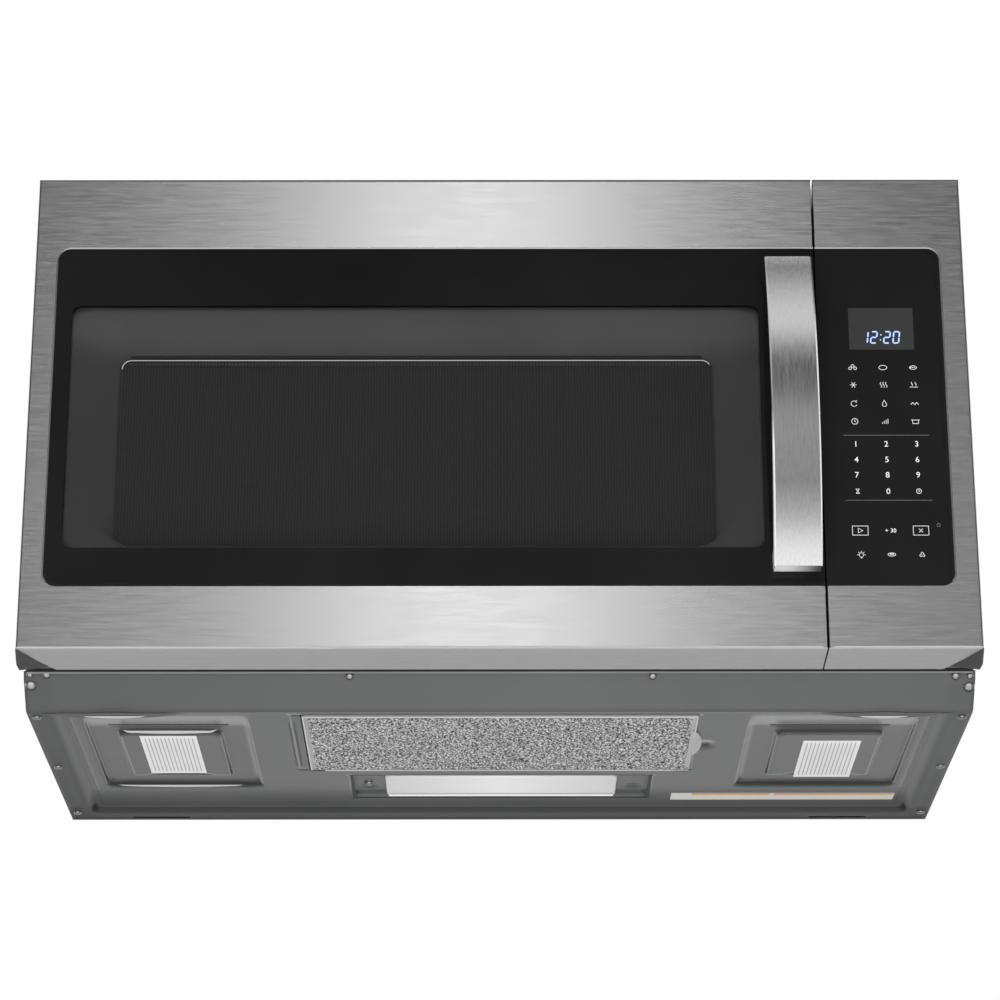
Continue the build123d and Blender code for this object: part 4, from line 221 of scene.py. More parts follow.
def run(tree, source, start, end, low=0.0, high=1.0, **settings):
    """A number that runs from low to high as the source goes from start to end."""
    made = add(tree, "ShaderNodeMapRange", {1: start, 2: end, 3: low, 4: high}, **settings)
    wire(tree, *source, made, 0)
    return made, 0


def mix(tree, share, first, second, **settings):
    """The first colour turned into the second by a share."""
    made = add(tree, "ShaderNodeMix", data_type="RGBA", **settings)
    feed(tree, {0: share, 6: first, 7: second}, made)
    return made, 2


def scaled(tree, colour, factor):
    """A colour times a factor."""
    made = add(tree, "ShaderNodeVectorMath", operation="SCALE")
    feed(tree, {0: colour, "Scale": factor}, made)
    return made, 0


def grey_ramp(tree, source, stops):
    """A ramp of greys through its stops of (place, level)."""
    ramp = add(tree, "ShaderNodeValToRGB")
    elements = ramp.color_ramp.elements
    for index, (at, level) in enumerate(stops):
        stop = elements.new(at) if index else elements[0]
        stop.position, stop.color = at, (*grey(level), 1)
    wire(tree, *source, ramp, 0)
    return ramp, "Color"


def new_group(name, inputs, outputs):
    """An empty shader group with float inputs {name: default} and float outputs."""
    group = bpy.data.node_groups.new(name, "ShaderNodeTree")
    for key, value in inputs.items():
        group.interface.new_socket(key, in_out="INPUT", socket_type="NodeSocketFloat").default_value = value
    for key in outputs:
        group.interface.new_socket(key, in_out="OUTPUT", socket_type="NodeSocketFloat")
    return group, add(group, "NodeGroupInput"), add(group, "NodeGroupOutput")


def slow_tone(group, place, given, out, detail):
    """A slow change of tone as plain noise of a given scale."""
    slow = add(group, "ShaderNodeTexNoise", {"Detail": detail})
    wire(group, place, "Object", slow, "Vector")
    wire(group, given, "Slow", slow, "Scale")
    wire(group, slow, "Fac", out, "Tone")


def brushing_group():
    """Fine brushed lines: noise drawn out along one axis by three stretches, with a slow change of tone."""
    group, given, out = new_group("brushing", {"Along X": 4.0, "Along Y": 900.0, "Along Z": 900.0, "Slow": 6.0},
                                  ["Lines", "Tone"])
    place = add(group, "ShaderNodeTexCoord")
    scale = add(group, "ShaderNodeCombineXYZ")
    for index, axis in enumerate("XYZ"):
        wire(group, given, "Along " + axis, scale, index)
    stretched = add(group, "ShaderNodeVectorMath", operation="MULTIPLY")
    feed(group, {0: (place, "Object"), 1: (scale, 0)}, stretched)
    lines = add(group, "ShaderNodeTexNoise", {"Scale": 1.0, "Detail": 3.0, "Roughness": 0.62})
    wire(group, stretched, 0, lines, "Vector")
    wire(group, lines, "Fac", out, "Lines")
    slow_tone(group, place, given, out, 2.0)
    return group


def grain_group():
    """Moulded leather-like grain: small cells with soft valleys, over a slow change of tone."""
    group, given, out = new_group("moulded_grain", {"Cells": 900.0, "Slow": 14.0}, ["Height", "Tone"])
    place = add(group, "ShaderNodeTexCoord")
    cells = add(group, "ShaderNodeTexVoronoi", feature="SMOOTH_F1")
    feed(group, {"Vector": (place, "Object"), "Scale": (given, "Cells")}, cells)
    wire(group, cells, "Distance", out, "Height")
    slow_tone(group, place, given, out, 3.0)
    return group


BRUSHING, GRAIN = brushing_group(), grain_group()


def start_material(name, colour, **principled):
    """A material with its Principled shader and the plain values of its sockets."""
    material = bpy.data.materials.new(name)
    material.use_nodes = True
    tree = material.node_tree
    shader = tree.nodes["Principled BSDF"]
    shader.inputs["Base Color"].default_value = (*grey(colour), 1)
    for key, value in principled.items():
        shader.inputs[key.replace("_", " ")].default_value = value
    return material, tree, shader


def tint(tree, shader, mask, low, high, start=0.3, end=0.7, socket="Base Color"):
    """A colour socket runs from low to high as the mask goes from start to end."""
    ramp = add(tree, "ShaderNodeValToRGB")
    for stop, at, colour in zip(ramp.color_ramp.elements, (start, end), (low, high)):
        stop.position, stop.color = at, (*grey(colour), 1)
    wire(tree, *mask, ramp, 0)
    wire(tree, ramp, "Color", shader, socket)
    return ramp


def span(tree, shader, socket, mask, low, high, start=0.3, end=0.7):
    """A socket's number runs from low to high as the mask goes from start to end."""
    wire(tree, *run(tree, mask, start, end, low, high), shader, socket)


def bump(tree, shader, height, strength, distance):
    """Relief of a strength and depth from a height mask."""
    relief = add(tree, "ShaderNodeBump", {"Strength": strength, "Distance": distance})
    wire(tree, *height, relief, "Height")
    wire(tree, relief, 0, shader, "Normal")


def object_axis(tree, axis):
    """The Object coordinate along an axis, in metres."""
    split = add(tree, "ShaderNodeSeparateXYZ")
    wire(tree, add(tree, "ShaderNodeTexCoord"), "Object", split, 0)
    return split, axis


def run_along(tree, axis, start, end, low=0.0, high=1.0):
    """A number that runs from low to high between two places on an axis, in millimetres."""
    return run(tree, object_axis(tree, axis), start * MM, end * MM, low, high)


def skin(tree, cells, slow):
    """The grain group with its cells and its slow change of tone set."""
    return add(tree, "ShaderNodeGroup", {"Cells": cells, "Slow": slow}, node_tree=GRAIN)


# Painted reflection: brightness of the handle's steel by height in millimetres.
HANDLE_REFLECTION_BANDS = ((-126.0, 0.74), (-104.0, 0.72), (-61.0, 0.48), (-20.0, 0.78), (26.0, 1.0), (75.0, 0.85),
                 (130.0, 0.62), (142.0, 0.62))


def painted_reflection_bands(tree, shader, ramp, stops):
    """Multiply the steel's tone by a ramp of height as painted reflection, and turn the sides low on the bar pale and
    plain as a painted highlight.
    """
    low, high = stops[0][0], stops[-1][0]
    bands = grey_ramp(tree, run_along(tree, 2, low, high), [((at - low) / (high - low), share) for at, share in stops])
    shade = mix(tree, 1.0, (ramp, "Color"), bands, blend_type="MULTIPLY")
    parts = add(tree, "ShaderNodeSeparateXYZ")
    wire(tree, add(tree, "ShaderNodeTexCoord"), "Normal", parts, 0)
    sideways = maths(tree, "GREATER_THAN", maths(tree, "ABSOLUTE", (parts, 0)), 0.6)
    side = maths(tree, "MULTIPLY", sideways, run_along(tree, 2, 0.0, -30.0))
    wire(tree, *mix(tree, side, shade, (*grey(0.95), 1)), shader, "Base Color")
    wire(tree, *maths(tree, "SUBTRACT", 1.0, side), shader, "Metallic")


def brushed(name, along, low, high, roughness, relief=0.05, rough_lip=0.0, reflection_stops=None):
    """Brushed steel with its lines along one axis, rougher on the lip below the face, with painted reflection by height
    where stops are given.
    """
    material, tree, shader = start_material(name, high, Metallic=1.0, Roughness=roughness)
    lines = add(tree, "ShaderNodeGroup", node_tree=BRUSHING)
    for axis in "XYZ":
        lines.inputs["Along " + axis].default_value = 45.0 if axis == along else 800.0
    ramp = tint(tree, shader, (lines, "Lines"), low, high, 0.25, 0.75)
    if reflection_stops:
        painted_reflection_bands(tree, shader, ramp, reflection_stops)
    spread = run(tree, (lines, "Lines"), 0.3, 0.7, roughness - 0.03, roughness + 0.03)
    lip = run_along(tree, 2, LIP_START, LIP_START - 0.6, 0.0, rough_lip)
    wire(tree, *maths(tree, "MAXIMUM", spread, lip), shader, "Roughness")
    bump(tree, shader, (lines, "Lines"), relief, 0.0002)
    return material


PAINT_SKIN = (420.0, 7.0)


def painted(name, low, high, roughness, peel=0.04, **principled):
    """Satin paint or plain sheet: a slow change of tone and faint orange peel."""
    material, tree, shader = start_material(name, high, Roughness=roughness, **principled)
    coat = skin(tree, *PAINT_SKIN)
    tint(tree, shader, (coat, "Tone"), low, high)
    span(tree, shader, "Roughness", (coat, "Tone"), roughness - 0.04, roughness + 0.04)
    bump(tree, shader, (coat, "Height"), peel, 0.0003)
    return material


def moulded(name, low, high, roughness, cells=900.0, relief=0.25, painted_light_over=None):
    """Moulded plastic with a fine grain, with painted light: a little lighter over a height where one is given."""
    material, tree, shader = start_material(name, high, Roughness=roughness)
    grain = skin(tree, cells, 14.0)
    ramp = tint(tree, shader, (grain, "Tone"), low, high)
    if painted_light_over is not None:
        rise = run_along(tree, 2, painted_light_over - 4, painted_light_over + 16, 1.0, 1.45)
        wire(tree, *scaled(tree, (ramp, "Color"), rise), shader, "Base Color")
    span(tree, shader, "Roughness", (grain, "Height"), roughness - 0.06, roughness + 0.08)
    bump(tree, shader, (grain, "Height"), relief, 0.0004)
    return material


def shaded_underside_paint():
    """Grey paint of the sheet metal with painted shade: darker on the steep sides of the pressings by height, and
    darker to the left and towards the rear.
    """
    material, tree, shader = start_material("underside_grey_paint_with_painted_shade", 0.12, Roughness=0.2)
    coat = skin(tree, *PAINT_SKIN)
    tone = tint(tree, shader, (coat, "Tone"), (0.106, 0.112, 0.109), (0.126, 0.132, 0.129))
    reach = RECESS_DEPTH + POCKET_DEPTH
    # Painted shade: shares of the tone by the height over the bottom, low on the pressings' steep sides.
    stops = ((0.0, 0.66), (1.2, 0.30), (RECESS_DEPTH - 1.4, 0.26), (RECESS_DEPTH - 0.25, 1.0),
             (RECESS_DEPTH + 0.3, 1.0), (RECESS_DEPTH + 1.0, 0.45), (reach - 1.1, 0.45), (reach - 0.3, 1.0))
    bands = grey_ramp(tree, run_along(tree, 2, BOTTOM, BOTTOM + reach),
                      [(rise / reach, share) for rise, share in stops])
    rear = run_along(tree, 1, RECESS_Y[1] - 20, RECESS_Y[1] - 12)
    pocket = run_along(tree, 2, FLOOR + 0.1, FLOOR + 0.3)
    behind = run_along(tree, 1, RECESS_Y[0] - 1, RECESS_Y[0])
    steep = maths(tree, "MULTIPLY", behind, maths(tree, "MAXIMUM", rear, pocket))
    shade = mix(tree, steep, (tone, "Color"), bands, blend_type="MULTIPLY")
    # Painted shade: darker to the left and towards the rear.
    sides = run_along(tree, 0, -CASE_HALF, -120, 0.80, 1.0)
    depth = run_along(tree, 1, -300, -60, 1.0, 0.84)
    wire(tree, *scaled(tree, shade, maths(tree, "MULTIPLY", sides, depth)), shader, "Base Color")
    # The gloss fades on the flanks and towards the rear.
    flank = run(tree, maths(tree, "ABSOLUTE", object_axis(tree, 0)), 352 * MM, 362 * MM, 0.2, 0.55)
    back = run_along(tree, 1, -90, -50, 0.2, 0.5)
    wire(tree, *maths(tree, "MAXIMUM", flank, back), shader, "Roughness")
    bump(tree, shader, (coat, "Height"), 0.04, 0.0003)
    return material


def glazed(name, low, high, roughness, **principled):
    """Glass, print or lacquer: a faint slow change of tone under a smooth face."""
    material, tree, shader = start_material(name, high, Roughness=roughness, **principled)
    tint(tree, shader, (skin(tree, 60.0, 9.0), "Tone"), low, high)
    return material, tree, shader


# Finishes of the pieces made here.
STEEL_FACE = brushed("brushed_steel_across", "X", 0.50, 0.585, 0.24, relief=0.012, rough_lip=0.62)
# Painted shade for the dark line along the skins' top folds.
STEEL_SHADE = painted("shaded_steel_fold", 0.06, 0.08, 0.6)
# A brighter copy of the steel for the bead along the opening: a real curled edge with a painted highlight.
STEEL_EDGE = painted("bright_folded_edge", 0.62, 0.72, 0.3, Metallic=1.0)
# Painted light: the handle's lower end runs from pale at the left to dark at the right.
HANDLE_END_LIGHT, end_tree, end_shader = glazed("painted_light_handle_end", 0.9, 0.9, 0.4)
tint(end_tree, end_shader, object_axis(end_tree, 0), 0.95, 0.05, 0.228, 0.252)
# Painted shade: a dark sheet where the shadowed case shows under each end of the face.
CORNER_SHADE = painted("painted_corner_shade", 0.06, 0.10, 0.45)
SCREW = painted("bright_zinc_screw", 0.40, 0.55, 0.20, Metallic=1.0)
# The underside's grey paint carries painted shade on the pressings' steep sides, to the left and to the rear.
PAINT_GREY_SHADED = shaded_underside_paint()
PAINT_PLAIN = painted("plain_grey_paint", (0.098, 0.104, 0.101), (0.112, 0.118, 0.115), 0.22)
# Painted light: the front edge of the sheet under the lip, lighter where it faces the lamps.
PAINT_EDGE_LIGHT = painted("painted_light_sheet_edge", 0.30, 0.36, 0.35)
# Painted highlight for glints on the pressings and the filter's rolled edges.
PAINT_GLINT = painted("painted_glint", 0.55, 0.68, 0.3)
PAINT_SHADE = painted("soft_shadow_paint", 0.070, 0.080, 0.35)
# Painted shade for gaps, grooves and the walls of the lamp's recess.
PAINTED_SHADOW = painted("painted_shadow_grey", 0.020, 0.028, 0.4)
# Painted light: the grey moulding is lighter over the window's top, on the upper sloping face.
PLASTIC_BEZEL = moulded("grained_grey_moulding", 0.076, 0.092, 0.5, 1400.0, 0.3, painted_light_over=66.0)
# Painted shade: a much darker copy of the grey moulding for the step over the window.
PLASTIC_STEP_SHADE = moulded("painted_shade_moulded_step", 0.012, 0.018, 0.5, 1400.0, 0.3)
LABEL = painted("plain_label_paper", 0.86, 0.92, 0.5)
LABEL_RULE = painted("label_rule_ink", 0.42, 0.50, 0.6)
LABEL_STRIP = painted("cream_label_paper", (0.66, 0.65, 0.60), (0.74, 0.73, 0.68), 0.5)
LABEL_BAND = painted("orange_label_band", (0.62, 0.33, 0.12), (0.70, 0.38, 0.14), 0.5)
GLASS_PANEL = glazed("black_panel_glass", 0.009, 0.013, 0.05, Specular_IOR_Level=0.2)[0]
LENS_GLOW = (1, 1, 0.97, 1)
# Painted highlight: a faintly glowing bright line along the lens's rear edge.
LENS_EDGE_HIGHLIGHT = painted("painted_highlight_lens_edge", 0.92, 0.98, 0.3, Emission_Color=LENS_GLOW, Emission_Strength=0.2)
LENS, lens_tree, lens_shader = glazed("white_lens", 0.58, 0.66, 0.12, Emission_Color=LENS_GLOW, Emission_Strength=0.08)
tint(lens_tree, lens_shader, maths(lens_tree, "ABSOLUTE", object_axis(lens_tree, 0)), 0.88, 0.62, 0.0, 0.1)
DISPLAY = glazed("display_window", 0.038, 0.046, 0.10, Specular_IOR_Level=0.2)[0]
# The white print glows faintly, a painted light.
PRINT = glazed("white_print", 0.74, 0.80, 0.5, Emission_Color=(1, 1, 1, 1), Emission_Strength=0.2)[0]
PRINT_DIM = glazed("grey_print", 0.20, 0.25, 0.5)[0]
DIGIT = glazed("blue_white_digit", (0.30, 0.45, 1.0), (0.38, 0.52, 1.0), 0.4, Emission_Color=(0.30, 0.46, 1.0, 1),
               Emission_Strength=0.8)[0]


def circuit_board():
    """Green lacquer with finer copper tracks showing through as a brick pattern."""
    material, tree, shader = start_material("circuit_board_lacquer", (0.02, 0.12, 0.05), Roughness=0.35)
    tracks = add(tree, "ShaderNodeTexBrick", {"Scale": 160.0, "Color1": (0.02, 0.12, 0.05, 1),
                                              "Color2": (0.03, 0.17, 0.07, 1), "Mortar": (0.08, 0.28, 0.12, 1)})
    wire(tree, add(tree, "ShaderNodeTexCoord"), "Object", tracks, "Vector")
    wire(tree, tracks, "Color", shader, "Base Color")
    return material


def rounded_mask(tree, box_x, box_z, radius, softness):
    """1 inside a rounded rectangle in X and Z, 0 outside, from the distance to its inner box."""
    parts = []
    for axis, pair in ((0, box_x), (2, box_z)):
        offset = maths(tree, "SUBTRACT", object_axis(tree, axis), middle(pair) * MM)
        beyond = maths(tree, "SUBTRACT", maths(tree, "ABSOLUTE", offset), (half(pair) - radius) * MM)
        held = maths(tree, "MAXIMUM", beyond, 0.0)
        parts.append(maths(tree, "MULTIPLY", held, held))
    distance = maths(tree, "SQRT", maths(tree, "ADD", *parts))
    return run(tree, distance, radius * MM, (radius - softness) * MM)


def door_glass_finish():
    """Tinted glass: clear enough to see the moulding through its opening, black printed round it."""
    material, tree, shader = glazed("tinted_door_glass", 0.007, 0.011, 0.04, Specular_IOR_Level=0.2)
    span(tree, shader, "Alpha", rounded_mask(tree, MOUTH_X, MOUTH_Z, 8.0, 0.6), 1.0, 0.2, 0.0, 1.0)
    return material


def screen_finish():
    """Black perforated sheet: small round holes as two crossed waves, the upright one stronger."""
    material, tree, shader = start_material("perforated_screen", 0.03, Roughness=0.4)
    waves = []
    for axis, pitch, share in ((0, 2.4, 0.75), (2, 1.5, 0.25)):
        turns = maths(tree, "MULTIPLY", object_axis(tree, axis), 2 * math.pi / (pitch * MM))
        waves.append(maths(tree, "MULTIPLY", maths(tree, "COSINE", turns), share))
    tint(tree, shader, maths(tree, "ADD", *waves), 0.028, 0.052, -0.6, 0.6)
    return material


def net_finish():
    """Layers of crumpled aluminium net: painted glints on bright facets and painted shade in dark gaps, from cells and
    noise.
    """
    material, tree, shader = start_material("aluminium_net", 0.6, Metallic=0.4, Roughness=0.4)
    place = add(tree, "ShaderNodeTexCoord")
    facets = add(tree, "ShaderNodeTexVoronoi", {"Scale": 430.0}, feature="F1")
    gaps = add(tree, "ShaderNodeTexVoronoi", {"Scale": 300.0}, feature="DISTANCE_TO_EDGE")
    shade = add(tree, "ShaderNodeTexNoise", {"Scale": 520.0, "Detail": 4.0, "Roughness": 0.8})
    for source in (facets, gaps, shade):
        wire(tree, place, "Object", source, "Vector")
    # Painted glints and painted shade: near black in the gaps to white on the facets.
    both = maths(tree, "ADD", (shade, "Fac"), maths(tree, "MULTIPLY", (gaps, "Distance"), 0.5))
    tint(tree, shader, both, 0.03, 1.0, 0.50, 0.62)
    bump(tree, shader, maths(tree, "ADD", (facets, "Distance"), (shade, "Fac")), 0.9, 0.0012)
    return material


NET = net_finish()
FINISH_OF_SLOT = {
    "brushed_steel": STEEL_FACE, "black_glass": GLASS_PANEL, "painted_grey": PAINT_GREY_SHADED,
    "grey_plastic": PLASTIC_BEZEL, "lens_white": LENS, "screw_steel": SCREW, "display_dark": DISPLAY,
    "circuit_board": circuit_board(), "screen_metal": screen_finish(),
    "handle_steel": brushed("brushed_steel_upright", "Z", 0.80, 0.98, 0.22, reflection_stops=HANDLE_REFLECTION_BANDS),
    "clear_glass": glazed("clear_glass", (0.80, 0.86, 0.84), (0.86, 0.90, 0.88), 0.03, Alpha=0.3)[0],
    "frame_grey": painted("frame_grey_paint", 0.25, 0.30, 0.42),
    "cavity_paint": painted("cavity_enamel", (0.52, 0.51, 0.48), (0.58, 0.57, 0.54), 0.30),
    "galvanised": painted("zinc_sheet", 0.42, 0.55, 0.38, Metallic=0.9),
    "filter_aluminium": painted("rolled_aluminium", 0.62, 0.75, 0.34, Metallic=0.6),
    "copper_core": painted("lacquered_iron_and_wire", (0.14, 0.09, 0.06), (0.24, 0.15, 0.09), 0.4),
    "spring_steel": painted("spring_wire", 0.45, 0.6, 0.28, Metallic=1.0),
    "mica": painted("mica_sheet", (0.42, 0.38, 0.29), (0.52, 0.48, 0.38), 0.35),
    "dark_plastic": moulded("black_moulding", 0.022, 0.032, 0.45),
    "white_plastic": moulded("white_moulding", 0.66, 0.74, 0.42, 700.0, 0.1),
    "charcoal": moulded("carbon_granules", 0.012, 0.05, 0.75, 600.0, 1.0),
}
FINISH_OF_NODE = {"door_glass": door_glass_finish(), "filter_mesh": NET}
for part in frame["record"]["subparts"]:
    node = frame["nodes"][part["node"]]
    node.data.materials.clear()
    node.data.materials.append(FINISH_OF_NODE.get(part["node"], FINISH_OF_SLOT[part["material_slot"]]))


# ------------------------------------------------------------------ underside
def screw_spots():
    """The middles of the side screws on the underside, which sit in shallow dimples."""
    return [(side * SCREW_X, y) for side in (-1, 1) for y in SCREWS_Y]


def bell(distance):
    """A squared cosine: 1 at distance 0, 0 from distance 1 on."""
    return np.cos(np.clip(distance, -1, 1) * math.pi / 2) ** 2


def underside_height(x, y):
    """Height of the pressed sheet over (x, y).

    A straight slope meets the flat bottom in a soft bend: the larger of the two with a rounding term.
    Each pressing adds its depth times a level-ended step of the distance inside a rounded rectangle,
    each screw dimple and bend dart a squared cosine bell, and the finger dimple a wider oval one.
    A bell-shaped bead and a thin bell-shaped groove run back beside each side wall. The label pockets
    deepen slowly behind the bend and hold a platform that comes back down to the floor.
    """
    slope = (BEND - y) * SLOPE_FALL
    height = BOTTOM + (slope + np.sqrt(slope**2 + BEND_ROUNDING**2) - BEND_ROUNDING * 0.12) / 2
    edge = NOSE - STEP_DROP * (y - SLOPE_START) / STEP_LENGTH
    ledge = NOSE - LEDGE_TILT * (SLOPE_START - y)
    height = np.where(y > SLOPE_TOP, height, np.where(y > SLOPE_START, edge, ledge))
    inside, end = rounded_distance(x, y, RECESS_X, RECESS_Y, RECESS_RADIUS)
    ramp = RECESS_SIDE_RAMP + (RECESS_END_RAMP - RECESS_SIDE_RAMP) * end
    height = height + RECESS_DEPTH * step_up(-inside / ramp)
    fade = step_up((y - POCKET_FADE[0]) / POCKET_FADE[1])
    outer_y, inner_y = (POCKET_FRONT, POCKETS_Y[1]), grow(POCKETS_Y, -POCKET_MARGIN)
    for pocket in POCKETS_X:
        for margin, box_y, depth, front, rear in zip((0.0, POCKET_MARGIN), (outer_y, inner_y),
                                                     (fade * POCKET_DEPTH, -POCKET_DEPTH), FRONT_RAMPS, REAR_RAMPS):
            inside, end = rounded_distance(x, y, grow(pocket, -margin), box_y, POCKET_RADIUS)
            ramp = np.where(y < middle(POCKETS_Y), front, rear)
            height = height + depth * step_up(-inside / (SIDE_RAMP + (ramp - SIDE_RAMP) * end))
    height = height + DIMPLE_DEPTH * bell(np.hypot((x - DIMPLE[0]) / DIMPLE[2], (y - DIMPLE[1]) / DIMPLE[3]))
    for at, reach in DARTS:
        across = np.clip((x - at) / reach, -1, 1)
        height = height + DART_DEPTH * (1 - across**2) ** 2 * bell((y - BEND) / DART_LENGTH)
    along = step_up((y - RECESS_Y[0] - 10) / 12) * step_up((RECESS_Y[1] - y) / 12)
    height = height - along * BEAD_DEPTH * np.exp(-(((np.abs(x) - BEAD_X) / BEAD_WIDTH) ** 2))
    height = height + along * LINE_DEPTH * np.exp(-(((np.abs(x) - LINE_X) / LINE_WIDTH) ** 2))
    for at_x, at_y in screw_spots():
        height = height + SCREW_DIMPLE_DEPTH * bell(np.hypot(x - at_x, y - at_y) / SCREW_DIMPLE)
    return height


def underside():
    """The pressed underside as one sheet over a grid of lines that pass along every edge and hole."""
    inner_x = [v for pair in POCKETS_X for v in grow(pair, -POCKET_MARGIN)]
    edges_x = [v for pair in (RECESS_X, *POCKETS_X) for v in pair] + inner_x
    wanted_x = [v + math.copysign(d, -v) for v in edges_x for d in (0.0, 0.8, 1.0, 1.6, 2.5, 4.5)]
    wanted_x += [v - math.copysign(d, -v) for v in inner_x for d in (0.8, 1.6, 2.5)]
    wanted_x += [*FILTER_HOLE_X, *LAMP_X, *SLOTS_X[0], *SLOTS_X[1], -CASE_HALF + CORNER_CUT, CASE_HALF - CORNER_CUT]
    wanted_x += [side * (at + d * reach) for side in (-1, 1) for d in (-2, -1, -0.5, 0, 0.5, 1, 2)
                 for at, reach in ((BEAD_X, BEAD_WIDTH), (LINE_X, LINE_WIDTH))]
    wanted_y = [edge + inwards * d for (front, rear), steps in
                ((RECESS_Y, (0.0, 1.0, 2.0, 3.0)), (POCKETS_Y, (-1.0, 0.0, 1.0, 2.5, 5.0, 10.0, 15.0)))
                for edge, inwards in ((front, 1), (rear, -1)) for d in steps]
    wanted_y += [*FILTER_HOLE_Y, *LAMP_Y, *SLOTS_Y, SLOPE_START, SLOPE_TOP]
    wanted_y += [BEND + d for d in (-6, -4, -2, -1, 0, 1, 2, 4, 6)]
    columns = lines_through(-CASE_HALF, CASE_HALF, 4.0, *wanted_x)
    rows = lines_through(PLATE_FRONT, 0.0, 3.0, *wanted_y)
    x, y = np.meshgrid(columns, rows)
    corner = np.maximum(np.abs(x) - CASE_HALF + CORNER_CUT, 0) * (y < SLOPE_START)
    holes = [(FILTER_HOLE_X, FILTER_HOLE_Y), (LAMP_X, LAMP_Y), *((slot, SLOTS_Y) for slot in SLOTS_X)]
    made = sheet("pressed_underside", x, np.minimum(y + corner, np.maximum(y, SLOPE_START)), underside_height(x, y),
                 PAINT_GREY_SHADED, holes=holes, thickness=SHEET)
    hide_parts("base_plate")


def lamp_pan():
    """The sunk pan round the lamp lens: a flat with soft walls and a squared cosine dimple at each end."""
    reach, wall, dimple, dimple_depth = 6.0, 1.5, 9.0, 1.6
    columns = lines_through(*grow(LAMP_X, reach), 2.0, *LAMP_X, *LENS_X, *grow(LAMP_X, -wall))
    rows = lines_through(*grow(LAMP_Y, reach), 2.0, *LAMP_Y, *LENS_SHOWN, *grow(LAMP_Y, -wall))
    x, y = np.meshgrid(columns, rows)
    inside, _ = rounded_distance(x, y, LAMP_X, LAMP_Y, 4.0)
    height = FLOOR + SHEET + (LAMP_RECESS - SHEET) * step_up(-inside / wall)
    for at in grow(LAMP_X, -14.5):
        height = height + dimple_depth * bell(np.hypot(x - at, (y - middle(LAMP_Y) - 10.0) * 0.9) / dimple)
    made = sheet("sunk_lamp_pan", x, y, height, PAINT_PLAIN, holes=[(LENS_X, LENS_SHOWN)], thickness=SHEET)
    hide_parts("lamp_cover")


def filter_channel():
    """The painted strip over the space that the filter slides into: level, over a grid of lines."""
    columns = lines_through(*CHANNEL_X, 1.0, *(at + d for at in GROOVES_X for d in (-0.9, 0.0, 0.9)))
    rows = lines_through(*CHANNEL_Y, 6.0, CHANNEL_Y[0] + 5, CHANNEL_Y[1] - 12)
    x, y = np.meshgrid(columns, rows)
    sheet("filter_channel", x, y, np.full(x.shape, FLOOR - 0.02), PAINT_GREY_SHADED, thickness=SHEET)


def crumpled_net():
    """The filter's net: a sheet whose height is smoothed seeded noise, a little over two cells wide."""
    low, high = node_span("filter_frame", 2)[0] + 0.3, node_span("filter_mesh", 2)[1]
    columns = np.linspace(*NET_X, int(half(NET_X) * 2 / NET_CELL))
    rows = np.linspace(*NET_Y, int(half(NET_Y) * 2 / NET_CELL))
    noise = np.random.default_rng(11).normal(size=(len(rows), len(columns)))
    noise = noise + np.roll(noise, 1, 0) + np.roll(noise, 1, 1) * 0.8 + np.roll(noise, -1, 1) * 0.5
    x, y = np.meshgrid(columns, rows)
    height = low + NET_CRUMPLE * np.clip(noise / 4.2, -1, 1)
    made = sheet("crumpled_net", x, y, height, NET, "grease_filter", "filter_aluminium", smooth=False,
                 thickness=(high - low) / 2)
    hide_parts("filter_mesh")


underside()
lamp_pan()
filter_channel()
crumpled_net()


# ------------------------------------------------------------------ flat print and labels
def flat(name, polygons, finish, body, slot, level, upright):
    """Filled polygons on one plane, each a list of (u, v): on the glass (u is X, v is Z) or underneath (X, Y)."""
    points, faces = [], []
    for polygon in polygons:
        faces.append(list(range(len(points), len(points) + len(polygon))))
        points += [(u, level, v) if upright else (u, v, level) for u, v in polygon]
    return piece(name, points, faces, finish, body, slot, smooth=False)


def boxes(name, wanted, finish, level, body="oven", slot="painted_grey", upright=False):
    """Rectangles on one plane, each from its two pairs of sides, facing down or, upright, to the front."""
    turn = 1 if upright else -1
    flat(name, [rectangle(*box)[::turn] for box in wanted], finish, body, slot, level, upright)


def ribbon(path, width, closed=False):
    """Quads of a width that follow a path of (u, v) points, mitred at each bend."""
    path = np.asarray(path, float)
    ahead = np.roll(path, -1, 0) - path
    behind = path - np.roll(path, 1, 0)
    if not closed:
        ahead[-1], behind[0] = behind[-1], ahead[0]
    ahead /= np.linalg.norm(ahead, axis=1, keepdims=True)
    behind /= np.linalg.norm(behind, axis=1, keepdims=True)
    normal = ahead + behind
    normal = np.stack([-normal[:, 1], normal[:, 0]], 1)
    normal /= np.maximum(np.sum(normal * np.stack([-ahead[:, 1], ahead[:, 0]], 1), 1, keepdims=True), 0.3)
    left, right = path + normal * width / 2, path - normal * width / 2
    count = len(path) if closed else len(path) - 1
    after = (np.arange(count) + 1) % len(path)
    quads = np.stack([right[:count], right[after], left[after], left[:count]], 1)
    return [[tuple(corner) for corner in quad] for quad in quads.tolist()]


def ring_path(u, v, radius, squash=1.0, start=0.0, turn=360.0, count=24):
    """Points on a circle or ellipse; a full turn leaves out its last point."""
    ends = turn >= 360.0
    angles = np.radians(start + np.linspace(0, turn, count, endpoint=not ends))
    return np.stack([u + radius * np.cos(angles), v + radius * squash * np.sin(angles)], 1)


def rectangle(box_u, box_v):
    return [(box_u[0], box_v[0]), (box_u[1], box_v[0]), (box_u[1], box_v[1]), (box_u[0], box_v[1])]


def wave_path(u, v, length, height, waves):
    """A wave: a sine along v."""
    t = np.linspace(0, 1, 13)
    return np.stack([u + height * np.sin(2 * math.pi * waves * t), v + (t - 0.5) * length], 1)


